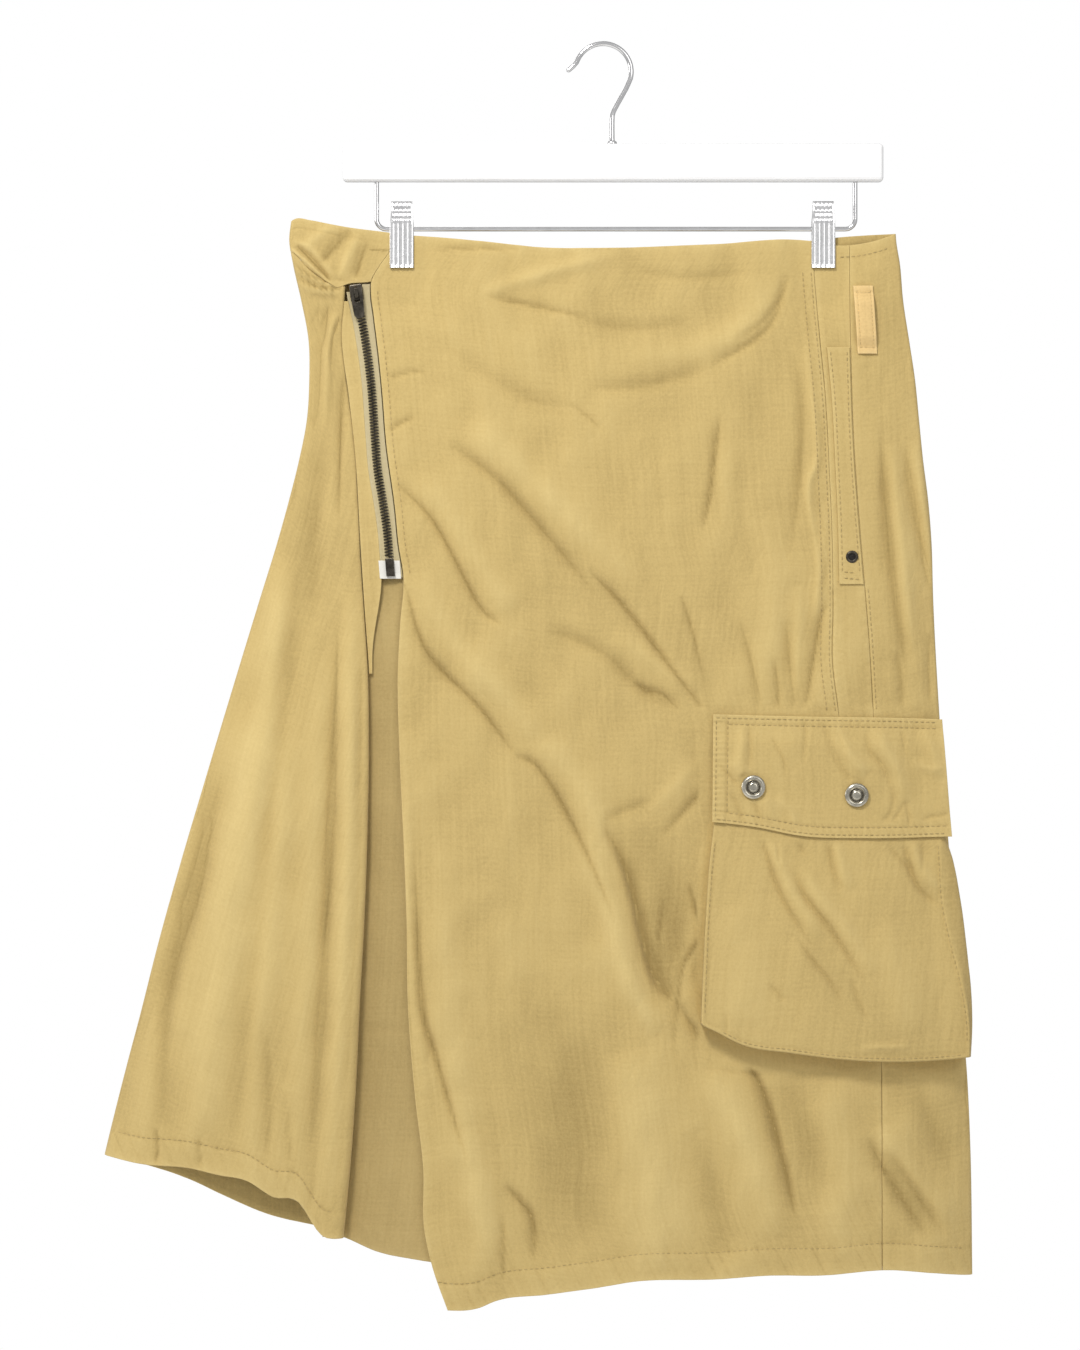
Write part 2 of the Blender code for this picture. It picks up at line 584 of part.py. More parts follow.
def make_left_panel():
    outer, inward = body_grid(
        left_start,
        lambda drop: angle_at(roll_start(drop), drop),
        lambda x, angle: drop_at(YOKE_FOOT, x) + 2 * SEAM,
        lambda x, angle: drop_at(LEFT_HEM, x),
        LEFT_FOLDS, 18, 22,
    )
    inward[:, -1] = (0.0, 1.0, 0.0)
    outer, inward = rolled_edge(outer, inward)
    panel("left_panel", outer, inward, cloth())


def make_waist_yoke():
    outer, inward = body_grid(
        left_start,
        lambda drop: angle_at(across(FRONT_LEFT_EDGE, drop) - SEAM, drop),
        lambda x, angle: drop_at(YOKE_TOP, x),
        lambda x, angle: drop_at(YOKE_FOOT, x),
        YOKE_FOLDS, 14, 7,
    )
    panel("waist_yoke_left", outer, inward, cloth())


def make_pleat_underlap():
    """The cloth that shows in the open pleat: it slopes from behind the roll to behind the front."""
    along = np.linspace(0.0, 1.0, 6)[None, :]
    down = np.linspace(0.0, 1.0, 18)[:, None]
    drop = UNDERLAP_TOP + UNDERLAP_LENGTH * down + 0.0 * along
    for _ in range(8):
        left = roll_start(drop) - UNDERLAP_TUCK
        right = across(FRONT_LEFT_EDGE, drop) + UNDERLAP_LAP
        x = left * (1 - along) + right * along
        drop = UNDERLAP_TOP * (1 - down) + drop_at(UNDERLAP_HEM, x) * down
    behind_roll = 2 * across(LEFT_ROLL_EDGE, drop, "roll") + CLOTH + UNDERLAP_SINK
    behind_front = CLOTH + 2 * GAP - held_folds(x, drop, FRONT_FOLDS)
    sunk = behind_roll * (1 - along) + behind_front * along
    outer = front_point(x, drop, -sunk)
    inward = np.array([0.0, 1.0, 0.0]) + 0.0 * outer
    panel("pleat_underlap", outer, inward, cloth())


def strip(name, left, right, top, foot, columns, rows, lift, thickness, finish):
    """A flat strip on the front between two lines listed by drop, standing off by lift."""
    along = np.linspace(0.0, 1.0, columns)[None, :]
    drop = np.linspace(top, foot, rows)[:, None] + 0.0 * along
    x = left(drop) * (1 - along) + right(drop) * along
    outer = front_point(x, drop, lift)
    return wall(name, outer, front_point(x, drop, lift - thickness), finish)


def make_side_pocket_welt():
    strip(
        "side_pocket_welt",
        lambda drop: across(FIRST_SEAM, drop) + WELT_LEFT,
        lambda drop: across(SIDE_SEAM, drop) - WELT_RIGHT,
        WELT_TOP, WELT_FOOT, 4, 14, GAP + WELT_THICK, WELT_THICK, cloth(),
    )


def make_belt_loop():
    """A short strap whose two ends lie on the cloth and whose middle stands off it."""
    along = np.linspace(0.0, 1.0, 4)[None, :]
    drop = np.linspace(LOOP_TOP, LOOP_FOOT, 11)[:, None] + 0.0 * along
    x = LOOP_ACROSS + (drop - LOOP_TOP) * LOOP_SLOPE + LOOP_WIDTH * along
    nearest_end = np.minimum(drop - LOOP_TOP, LOOP_FOOT - drop)
    arch = LOOP_RISE * ease((nearest_end - LOOP_END) / LOOP_CURVE)
    outer = front_point(x, drop, GAP + LOOP_THICK + arch)
    wall("belt_loop", outer, front_point(x, drop, GAP + arch), pale_cloth())


def make_zip():
    """Facing, tapes, teeth and bottom box, as strips that follow the zip's line."""
    half = CHAIN_WIDTH / 2

    def middle(drop):
        return across(ZIP_LINE, drop)

    def facing_left(drop):
        return across(LEFT_ROLL_EDGE, drop) + TAPE_CLEAR

    def tape_edge(drop):
        return middle(drop) - TAPE_REACH

    def front_edge(drop):
        return across(FRONT_LEFT_EDGE, drop) - TAPE_CLEAR

    strip(
        "zip_facing", facing_left, tape_edge,
        ZIP_TOP + FACING_START, ZIP_END, 3, 14, -ZIP_SINK, TAPE, cloth(),
    )
    strip(
        "zip_tape_left", lambda drop: tape_edge(drop) + GAP, lambda drop: middle(drop) - half - GAP,
        ZIP_TOP + TAPE_START, ZIP_END, 3, 14, -ZIP_SINK, TAPE, tape(),
    )
    strip(
        "zip_tape_right", lambda drop: middle(drop) + half + GAP, front_edge,
        ZIP_TOP + TAPE_START, ZIP_END, 3, 14, -ZIP_SINK, TAPE, tape(),
    )
    strip(
        "zip_chain", lambda drop: middle(drop) - half, lambda drop: middle(drop) + half,
        ZIP_TOP + TAPE_START, CHAIN_FOOT, 3, 16, CHAIN_THICK - ZIP_SINK - TAPE, CHAIN_THICK, dark_metal(),
    )
    strip(
        "zip_box", lambda drop: middle(drop) - ZIP_BOX_HALF, lambda drop: middle(drop) + ZIP_BOX_HALF,
        ZIP_BOX_TOP, ZIP_BOX_FOOT, 3, 4, ZIP_BOX_LIFT, ZIP_BOX_THICK, dark_metal(),
    )


def box_points(low, high):
    """Eight corners of a box and its six outward faces."""
    points = [(x, y, z) for x in (low[0], high[0]) for y in (low[1], high[1]) for z in (low[2], high[2])]
    faces = [(0, 1, 3, 2), (4, 6, 7, 5), (0, 4, 5, 1), (2, 3, 7, 6), (0, 2, 6, 4), (1, 5, 7, 3)]
    return points, faces


def unite(target, tool):
    """Join a tool's solid to the target, and keep the tool only as a guide."""
    joined = target.modifiers.new("join", "BOOLEAN")
    joined.operation = "UNION"
    joined.object = tool
    tool.hide_render = True
    tool.display_type = "WIRE"


def zip_pivot():
    """The axis of the pull tab: in front of the slider's face, just above its middle."""
    face = -body_depth(np.array(SLIDER_ACROSS), np.array(SLIDER_DROP)) - SLIDER_THICK + ZIP_SINK
    return np.array([SLIDER_ACROSS, float(face) - PIVOT_STAND, -SLIDER_DROP])


def lean(solid):
    """Turn a zip piece about its own origin, to the slope of the zip."""
    solid.rotation_euler = (0.0, -ZIP_LEAN, 0.0)


def make_zip_slider():
    """A flat body with an arched bail, all placed about the pull's axis."""
    pivot = zip_pivot()
    half_width, half_length = SLIDER_WIDTH / 2, SLIDER_LENGTH / 2
    low = pivot + (-half_width, PIVOT_STAND, -half_length)
    high = pivot + (half_width, PIVOT_STAND + SLIDER_THICK - GAP, half_length)
    body = mesh_of("zip_slider", *box_points(low, high), dark_metal(), pivot)
    bevel = body.modifiers.new("soft corners", "BEVEL")
    bevel.width = SLIDER_ROUNDING * MM
    bevel.segments = 2
    outline = []
    for stock in (0.0, BAIL_STOCK):
        reach, rise = BAIL_LENGTH / 2 - stock, BAIL_RISE - stock
        side = [(reach, BAIL_FOOT), (reach, -rise + BAIL_CORNER), (reach - BAIL_CORNER, -rise)]
        arc = side + [(-along, out) for along, out in reversed(side)]
        outline.append(arc)
    loop = outline[0] + outline[1][::-1]
    points = []
    for edge in (-BAIL_WIDTH / 2, BAIL_WIDTH / 2):
        points += [pivot + (edge, PIVOT_STAND + out, along) for along, out in loop]
    count = len(loop)
    sides = [(i, (i + 1) % count, (i + 1) % count + count, i + count) for i in range(count)]
    half_loop = count // 2
    caps = []
    for i in range(half_loop - 1):
        quad = (i, count - 1 - i, count - 2 - i, i + 1)
        caps += [quad, tuple(corner + count for corner in reversed(quad))]
    bail = mesh_of("bail_guide", points, sides + caps, dark_metal(), pivot)
    turn_outward(bail)
    unite(body, bail)
    lean(body)
    lean(bail)


def turn_outward(solid):
    """Make every face of a closed mesh point out."""
    shape = bmesh.new()
    shape.from_mesh(solid.data)
    bmesh.ops.recalc_face_normals(shape, faces=shape.faces)
    shape.to_mesh(solid.data)
    shape.free()


def make_zip_pull():
    """A flat tab with a window for the bail. Its origin is on its axis, and it hangs straight down."""
    pivot = zip_pivot()
    half, window = PULL_WIDTH / 2, BAIL_WIDTH / 2 + WINDOW_CLEAR
    outer = [(-half + 0.8, PULL_BAR), (half - 0.8, PULL_BAR), (half, -0.4), (half, -7.4),
             (half - 0.5, -PULL_LENGTH + 2.0), (half - 2.0, -PULL_LENGTH),
             (-half + 2.0, -PULL_LENGTH), (-half + 0.5, -PULL_LENGTH + 2.0), (-half, -7.4), (-half, -0.4)]
    inner = [(-window, -PULL_BAR), (window, -PULL_BAR), (window, -3.0), (window, -PULL_WINDOW),
             (window * 0.6, -PULL_WINDOW - 0.5), (window * 0.3, -PULL_WINDOW - 0.7),
             (-window * 0.3, -PULL_WINDOW - 0.7), (-window * 0.6, -PULL_WINDOW - 0.5),
             (-window, -PULL_WINDOW), (-window, -3.0)]
    points = []
    for y in (-PULL_THICK / 2, PULL_THICK / 2):
        points += [pivot + (x, y, z) for x, z in outer]
        points += [pivot + (x, y, z) for x, z in inner]
    count = len(outer)
    faces = []
    for i in range(count):
        after = (i + 1) % count
        faces.append((i, i + count, after + count, after))
        faces.append((i + 2 * count, after + 2 * count, after + 3 * count, i + 3 * count))
        faces.append((i, after, after + 2 * count, i + 2 * count))
        faces.append((i + count, i + 3 * count, after + 3 * count, after + count))
    pull = mesh_of("zip_pull", points, faces, dark_metal(), pivot)
    turn_outward(pull)
    lean(pull)


def revolve(name, profile, centre, sides, finish, closed=False):
    """Turn a profile of (radius, rise) about a line that faces the front.

    A closed profile gives a ring. An open one ends in a flat disc at each end.
    """
    profile = np.asarray(profile, dtype=float)
    turn = np.linspace(0.0, 2 * np.pi, sides, endpoint=False)[None, :]
    radius, rise = profile[:, :1], profile[:, 1:]
    x = centre[0] + radius * np.cos(turn)
    z = centre[2] + radius * np.sin(turn)
    y = centre[1] - rise + 0.0 * turn
    points = np.stack([x, y, z], axis=-1).reshape(-1, 3)
    index = np.arange(len(points)).reshape(len(profile), sides)
    if closed:
        index = np.concatenate([index, index[:1]])
    beside = np.roll(index, -1, axis=1)
    faces = np.stack([index[:-1], beside[:-1], beside[1:], index[1:]], axis=-1).reshape(-1, 4).tolist()
    if not closed:
        faces += [index[0].tolist()[::-1], index[-1].tolist()]
    made = mesh_of(name, points, faces, finish)
    turn_outward(made)
    made.data.set_sharp_from_angle(angle=math.radians(40))
    return made


def flap_stand(x, drop):
    """How far the flap's outer face stands out: on the cloth at its top, over the pocket below."""
    over = ease((drop - FLAP_STEP) / FLAP_STEP_LENGTH)
    return FLAP_TOP_LIFT + over * across(POCKET_STAND, drop, "stand")


def pocket_ground(x, drop):
    """Depth of the cloth under the pocket, carried on straight past the skirt's rounded edge."""
    right = across(BODY, drop, "right")
    return body_depth(np.minimum(x, right - GROUND_EDGE), drop)


def near_snap(x, drop):
    """0 close to a snap and 1 away from it."""
    free = np.ones(np.broadcast(x, drop).shape)
    for snap_x, snap_drop in zip(*SNAPS.values()):
        away = np.hypot(x - snap_x, drop - snap_drop)
        free = free * ease((away - SNAP_FLAT) / (SNAP_CALM - SNAP_FLAT))
    return free


def flap_depth(x, drop):
    """Depth of the flap's outer face, with its own soft folds."""
    folds = fold_height(x, drop, FLAP_FOLDS) * near_snap(x, drop)
    return pocket_ground(x, drop) + flap_stand(x, drop) + folds


def make_flap():
    along = np.linspace(0.0, 1.0, 16)[None, :]
    down = np.linspace(0.0, 1.0, 8)[:, None]
    drop = FLAP_START + FLAP_LENGTH * down + 0.0 * along
    for _ in range(6):
        x = across(FLAP_SIDES, drop, "left") * (1 - along) + across(FLAP_SIDES, drop, "right") * along
        drop = drop_at(FLAP_TOP, x) * (1 - down) + drop_at(FLAP_FOOT, x) * down
    outer = np.stack([x, -flap_depth(x, drop), -drop], axis=-1)
    inner = outer + np.array([0.0, CLOTH, 0.0])
    wall("cargo_pocket_flap", outer, inner, cloth())


def pocket_shell(inset):
    """The pocket's face with its side and foot gussets, as one grid.

    The face stands out from the cloth. One more row and the outer columns carry it back to the cloth.
    inset draws every part of it in by a cloth's thickness, for the inside.
    """
    along = np.linspace(0.0, 1.0, 13)[None, :]
    down = np.linspace(0.0, 1.0, 11)[:, None]
    drop = POCKET_TOP + POCKET_LENGTH * down + 0.0 * along
    for _ in range(8):
        left = across(POCKET_SIDES, drop, "left") + inset
        right = across(POCKET_SIDES, drop, "right") - inset
        x = left * (1 - along) + right * along
        drop = POCKET_TOP * (1 - down) + (drop_at(POCKET_FOOT, x) - inset) * down
    stand = across(POCKET_STAND, drop, "stand") - inset
    below_flap = ease((drop - POCKET_PLAIN) / POCKET_SOFT)
    folds = fold_height(x, drop, POCKET_FOLDS) * below_flap
    depth = pocket_ground(x, drop) + stand + folds
    edge = across(BODY, drop[:, -1:], "right")
    lap_x = across(POCKET_SIDES, drop[:, -1:], "right") + POCKET_LAP
    base_x = np.minimum(edge - POCKET_EDGE, lap_x) - inset
    base_y = body_depth(base_x, drop[:, -1:]) + GAP
    bulge_x = across(POCKET_SIDES, drop[:, -1:], "bulge") - inset
    bulge_y = (base_y + depth[:, -1:]) / 2
    left_x = x[:, :1]
    left_y = body_depth(left_x, drop[:, :1]) + GAP
    x = np.concatenate([left_x, x, bulge_x, base_x], axis=1)
    depth = np.concatenate([left_y, depth, bulge_y, base_y], axis=1)
    drop = np.concatenate([drop[:, :1], drop, drop[:, -1:], drop[:, -1:]], axis=1)
    foot_x = np.minimum(x[-1:], across(BODY, drop[-1:], "right") - POCKET_EDGE - inset)
    foot_drop = drop[-1:] + POCKET_RIM
    foot_depth = body_depth(foot_x, foot_drop) + GAP
    x = np.concatenate([x, foot_x])
    drop = np.concatenate([drop, foot_drop])
    depth = np.concatenate([depth, foot_depth])
    return np.stack([x, -depth, -drop], axis=-1)


def make_pocket_bag():
    wall("cargo_pocket_bag", pocket_shell(0.0), pocket_shell(CLOTH), cloth())


def make_snaps():
    """Two ring caps on the flap, each with a groove and a stud in its middle."""
    shares = np.stack([SNAP_PROFILE["radius"] * SNAP_RADIUS, SNAP_PROFILE["rise"] * SNAP_RISE], axis=-1)
    for name, x, drop in zip(("snap_left", "snap_right"), *SNAPS.values()):
        around = np.linspace(0.0, 2 * np.pi, 12)
        rim_x, rim_drop = x + SNAP_RADIUS * np.cos(around), drop + SNAP_RADIUS * np.sin(around)
        rim_seat = float(np.max(flap_depth(rim_x, rim_drop)))
        seat = max(rim_seat, float(flap_depth(np.array(x), np.array(drop))))
        revolve(name, shares, (x, -seat - GAP, -drop), 16, bright_metal())


def make_eyelet():
    """A pressed ring round a small hole in the welt."""
    seat = body_depth(np.array(EYELET_ACROSS), np.array(EYELET_DROP)) + GAP + WELT_THICK + GAP
    profile = [
        (EYELET_RADIUS, 0.0), (EYELET_RADIUS, EYELET_STEP), (EYELET_CROWN, EYELET_RISE),
        (EYELET_HOLE + 0.1, EYELET_LIP), (EYELET_HOLE, 0.0),
    ]
    revolve("eyelet_ring", profile, (EYELET_ACROSS, -float(seat), -EYELET_DROP), 18, dark_metal(), True)


def tube(name, path, radius, sides, finish, collar=None):
    """A round wire along a path of (x, drop) points in the hanger's plane.

    Each ring of points is square to the path. collar adds rings of (radius, drop) at the first end.
    """
    path = np.asarray(path, dtype=float)
    along = np.gradient(path, axis=0)
    along /= np.linalg.norm(along, axis=1)[:, None]
    radii = np.full(len(path), radius)
    if collar:
        more = np.array([(path[0, 0], drop) for _, drop in collar])
        path = np.concatenate([more, path])
        along = np.concatenate([np.repeat(along[:1], len(more), axis=0), along])
        radii = np.concatenate([[size for size, _ in collar], radii])
    turn = np.linspace(0.0, 2 * np.pi, sides, endpoint=False)[None, :]
    side_x, side_drop = -along[:, 1:], along[:, :1]
    x = path[:, :1] + radii[:, None] * np.cos(turn) * side_x
    drop = path[:, 1:] + radii[:, None] * np.cos(turn) * side_drop
    y = radii[:, None] * np.sin(turn) + 0.0 * x
    points = np.stack([x, y, -drop], axis=-1).reshape(-1, 3)
    index = np.arange(len(points)).reshape(len(path), sides)
    beside = np.roll(index, -1, axis=1)
    faces = np.stack([index[:-1], beside[:-1], beside[1:], index[1:]], axis=-1).reshape(-1, 4).tolist()
    faces += [index[0].tolist()[::-1], index[-1].tolist()]
    made = mesh_of(name, points, faces, finish)
    turn_outward(made)
    made.data.set_sharp_from_angle(angle=math.radians(40))
    return made


def make_hook():
    """Straight stem, a lean to the right, most of a circle over the origin and a flared tip."""
    centre_drop = HOOK_RADIUS - HOOK_WIRE
    turn = np.radians(np.linspace(HOOK_FIRST, HOOK_LAST, 20))
    ring = np.stack([HOOK_RADIUS * np.cos(turn), centre_drop - HOOK_RADIUS * np.sin(turn)], axis=-1)
    stem = np.stack([HOOK_STEM["across"], HOOK_STEM["drop"]], axis=-1)
    tip = np.stack([HOOK_TIP["across"], HOOK_TIP["drop"]], axis=-1)
    collar = [
        (COLLAR_RADIUS, BAR_TOP - GAP), (COLLAR_RADIUS, BAR_TOP - COLLAR_HEIGHT),
        (HOOK_WIRE + 0.1, BAR_TOP - COLLAR_HEIGHT - 0.4),
    ]
    tube("hanger_hook", np.concatenate([stem, ring, tip]), HOOK_WIRE, 8, bright_metal(), collar)


def make_rod():
    """A wire that leaves the bar, turns along under it and goes back up."""
    turn = np.radians(np.linspace(0.0, 90.0, 6))
    left_x = ROD_LEFT + ROD_BEND * (1 - np.cos(turn))
    left_drop = ROD_DROP - ROD_BEND * (1 - np.sin(turn))
    right_x = ROD_RIGHT - ROD_BEND * (1 - np.sin(turn))
    right_drop = ROD_DROP - ROD_BEND * (1 - np.cos(turn))
    path = np.concatenate([
        [(ROD_LEFT, BAR_BOTTOM + GAP)],
        np.stack([left_x, left_drop], axis=-1),
        [(ROD_LEFT + ROD_STRAIGHT, ROD_DROP), (ROD_RIGHT - ROD_STRAIGHT, ROD_DROP)],
        np.stack([right_x, right_drop], axis=-1),
        [(ROD_RIGHT, BAR_BOTTOM + GAP)],
    ])
    tube("hanger_rod", path, ROD_RADIUS, 10, bright_metal())


def make_bar():
    low = (BAR_LEFT, -BAR_DEPTH / 2, -BAR_BOTTOM)
    high = (BAR_RIGHT, BAR_DEPTH / 2, -BAR_TOP)
    bar = mesh_of("hanger_bar", *box_points(low, high), white_paint())
    bevel = bar.modifiers.new("rounded edges", "BEVEL")
    bevel.width = BAR_ROUNDING * MM
    bevel.segments = 3


def clip_profile(spread):
    """Half of a clip's section, from a jaw's lip up over the rod: (y, drop) pairs, outside then inside."""
    outside = CLIP_INSIDE + CLIP_PLATE + spread
    down = [(outside + out, drop) for out, drop in zip(*CLIP_OUTSIDE.values())]
    inside = [(CLIP_INSIDE + out, drop) for out, drop in zip(*CLIP_FACE.values())]
    return down, inside


def make_clip(name, centre):
    """A sprung clip bent from one plate: it goes over the rod, and its two jaws hold the waist.

    Its section is carried across the width, and three ribs run down the outside.
    """
    columns = np.linspace(-0.5, 0.5, 13)
    top = [(CLIP_CROWN, CLIP_TOP), (-CLIP_CROWN, CLIP_TOP)]
    loops = []
    for place in columns:
        rib = CLIP_RIB * max(0.0, math.cos(place * 2 * CLIP_RIBS * math.pi))
        outside, inside = clip_profile(rib)
        section = outside + top + [(-y, drop) for y, drop in reversed(outside)]
        section += [(-y, drop) for y, drop in inside] + [(y, drop) for y, drop in reversed(inside)]
        loops.append([(centre + CLIP_WIDTH * place, y, -drop) for y, drop in section])
    points = np.array(loops).reshape(-1, 3)
    count = len(loops[0])
    index = np.arange(len(points)).reshape(len(columns), count)
    beside = np.roll(index, -1, axis=1)
    faces = np.stack([index[:-1], beside[:-1], beside[1:], index[1:]], axis=-1).reshape(-1, 4).tolist()
    faces += [index[0].tolist()[::-1], index[-1].tolist()]
    made = mesh_of(name, points, faces, bright_metal())
    turn_outward(made)
    made.data.set_sharp_from_angle(angle=math.radians(50))


def build():
    for old in list(bpy.data.objects):
        bpy.data.objects.remove(old, do_unlink=True)
    make_front_panel()
    make_front_side_panel()
    make_back_panel()
    make_left_panel()
    make_waist_yoke()
    make_pleat_underlap()
    make_side_pocket_welt()
    make_belt_loop()
    make_zip()
    make_zip_slider()
    make_zip_pull()
    make_pocket_bag()
    make_flap()
    make_snaps()
    make_eyelet()
    make_hook()
    make_rod()
    make_bar()
    for name, centre in zip(("clip_left", "clip_right"), CLIP_ACROSS):
        make_clip(name, centre)


build()
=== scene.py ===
"""The looks of a khaki cargo skirt on a white clip hanger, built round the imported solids.

Sizes are millimetres until a mesh is made. x runs to the right, y to the back, and drop is the distance
below the inside of the hook, so z = -drop. Each cloth piece is a grid of points on the flat ring that the
hanging skirt makes, with its folds, puckers and hems worked out as whole arrays.
"""
import math

import bpy
import numpy as np
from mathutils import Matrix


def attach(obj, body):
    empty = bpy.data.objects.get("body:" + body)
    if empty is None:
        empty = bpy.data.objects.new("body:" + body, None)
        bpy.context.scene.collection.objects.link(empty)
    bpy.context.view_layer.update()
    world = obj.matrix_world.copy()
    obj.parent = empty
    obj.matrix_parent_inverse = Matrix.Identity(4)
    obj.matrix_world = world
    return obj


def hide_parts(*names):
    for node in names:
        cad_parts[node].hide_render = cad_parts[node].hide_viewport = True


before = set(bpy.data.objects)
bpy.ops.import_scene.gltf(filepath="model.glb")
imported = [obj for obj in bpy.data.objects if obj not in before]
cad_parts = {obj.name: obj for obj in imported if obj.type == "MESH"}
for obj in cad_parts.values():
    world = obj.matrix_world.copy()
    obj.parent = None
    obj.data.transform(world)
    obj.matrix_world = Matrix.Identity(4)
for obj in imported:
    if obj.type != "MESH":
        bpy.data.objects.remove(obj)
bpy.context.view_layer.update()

MM = 0.001
GARMENT, PULL = "garment", "zip_pull"
CREASE_DEPTH = 1.35  # every crease is this much deeper than its row says
SOLID_CLOTH = 1.4  # the solids' cloth thickness
CLOTH = 0.9  # the visible cloth's thickness
HEM_THICK = 2.3
HEM_DEEP = 17.5
GAP = 0.3
SEAM = 0.05
EDGE_RADIUS = 2.2
BULGE_REACH = 34.0
QUARTER = math.pi / 2
BACK_WRAP, BACK_SEAM = 0.24, 0.012
CLIP_ACROSS = (-130.8, 143.1)
PINCH_WIDTH, PINCH_FLAT, PINCH_END, PINCH_SOFT = 22.0, 1.8, 170.0, 8.0
ZIP_END = 345.5
LINE_STEPS = 17  # points along each fold's line


def table(columns, *rows):
    """Named columns of a short table, one row for each section, edge point or fold."""
    return {name: np.array(values, dtype=float) for name, values in zip(columns.split(), zip(*rows))}


BODY = table(
    "drop left right depth",
    (112, -202.5, 190.0, 4.8), (126, -204.0, 190.5, 5.0), (142, -201.5, 193.0, 5.6),
    (165, -196.3, 195.0, 6.4), (191, -191.5, 198.9, 7.2), (217, -191.0, 202.8, 8.0),
    (243, -192.6, 205.4, 8.6), (269, -197.6, 208.0, 9.4), (295, -204.1, 211.3, 10.2),
    (321, -211.3, 213.4, 11.0), (360, -223.3, 214.6, 12.2), (425, -243.1, 218.0, 14.0),
    (477, -258.7, 221.5, 15.4), (530, -274.4, 225.5, 16.8), (581, -288.6, 229.5, 18.2),
    (633, -301.8, 233.5, 19.6), (660, -309.0, 236.0, 20.2), (711, -321.8, 238.6, 21.4),
    (790, -339.5, 239.9, 23.0), (822, -346.0, 240.2, 23.6),
)
FRONT_LEFT_EDGE = table(
    "drop across",
    (112, -131.4), (122, -133.8), (132.5, -138.0), (143, -145.4), (153, -150.6), (160, -150.9),
    (176, -149.0), (200, -146.0), (230, -143.1), (257, -141.0), (300, -135.2), (326, -132.6),
    (345, -129.6), (375, -131.6), (407, -133.2), (462, -132.0), (517, -129.4), (571, -127.4),
    (620, -126.6), (684, -121.6), (727, -116.6), (769, -115.6), (792, -110.4), (820, -100.4),
)
LEFT_ROLL_EDGE = table(
    "drop across roll",
    (150, -166.6, 1.8), (166, -167.7, 1.8), (185, -169.4, 1.8), (230, -164.5, 1.8),
    (266, -160.6, 1.9), (321, -157.3, 2.1), (372, -154.0, 2.5), (407, -151.6, 2.9),
    (443, -150.8, 3.3), (516, -151.5, 4.3), (571, -153.4, 5.0), (620, -156.0, 5.6),
    (670, -158.2, 6.2), (727, -162.0, 6.8), (775, -166.6, 7.2),
)
FIRST_SEAM = table(
    "drop across",
    (120, 136.2), (145, 137.0), (165, 138.5), (188, 140.4), (230, 144.3), (282, 146.9),
    (306, 148.0), (369, 148.9), (398, 148.4), (436, 152.8), (500, 160.0), (560, 168.0),
    (620, 174.0), (640, 176.2), (700, 182.0), (820, 190.0),
)
SIDE_SEAM = table(
    "drop across",
    (120, 160.0), (200, 160.8), (260, 162.8), (317, 166.8), (344, 169.0), (387, 172.4),
    (432, 175.0), (520, 177.6), (659, 180.0), (810, 180.4),
)
ZIP_LINE = table(
    "drop across",
    (150, -161.6), (159, -160.5), (182, -156.0), (218, -150.8), (253, -148.2), (276, -146.3),
    (296, -143.0), (317, -140.0), (333, -138.7), (346, -137.6),
)
FRONT_TOP = table(
    "across drop",
    (-140, 122.6), (-121, 123.4), (-80, 127.0), (-36, 131.3), (5, 131.4), (70, 129.2),
    (135, 126.8), (151, 129.6), (168, 128.6), (183, 124.8), (190, 122.0),
)
BACK_TOP = table(
    "across drop",
    (-204, 114.2), (-160, 119.8), (-150, 122.8), (-120, 124.4), (-36, 133.4), (5, 133.6),
    (130, 127.0), (152, 124.4), (180, 122.4), (190, 122.0),
)
YOKE_TOP = table(
    "across drop",
    (-204, 114.4), (-200, 112.4), (-190, 113.4), (-177, 116.0), (-163, 118.4), (-146, 120.4), (-130, 122.4),
)
YOKE_FOOT = table(
    "across drop",
    (-205, 133.2), (-202, 134.2), (-190.5, 145.6), (-178, 154.6), (-173.6, 157.0),
    (-165, 154.8), (-156, 154.0), (-150, 153.0), (-139, 141.0),
)
FRONT_HEM = table(
    "across drop",
    (-112, 817.5), (-100, 819.2), (-80, 817.6), (-71, 813.8), (-36, 809.0), (-6, 805.0),
    (23, 800.4), (70, 799.4), (105, 797.0), (141, 796.8), (186, 793.8), (212, 796.0),
    (238, 798.4), (241, 798.5),
)
LEFT_HEM = table(
    "across drop",
    (-324, 720.6), (-301, 725.4), (-268, 728.0), (-248, 732.4), (-230, 736.0), (-214, 746.0),
    (-195, 751.8), (-190, 760.0), (-184, 769.0), (-166, 773.0),
)
UNDERLAP_HEM = table(
    "across drop",
    (-185, 769.5), (-168, 773.8), (-148, 782.0), (-123, 787.0), (-100, 790.0),
)
BACK_HEM = table(
    "across drop",
    (-324, 721.0), (-301, 727.5), (-268, 739.0), (-248, 748.8), (-220, 761.0), (-185, 769.2),
    (-110, 787.0), (0, 793.0), (120, 794.0), (200, 796.0), (241, 798.5),
)
FOLD_COLUMNS = "x0 d0 x1 d1 x2 d2 width height crisp lean"  # the line bends towards x1, d1
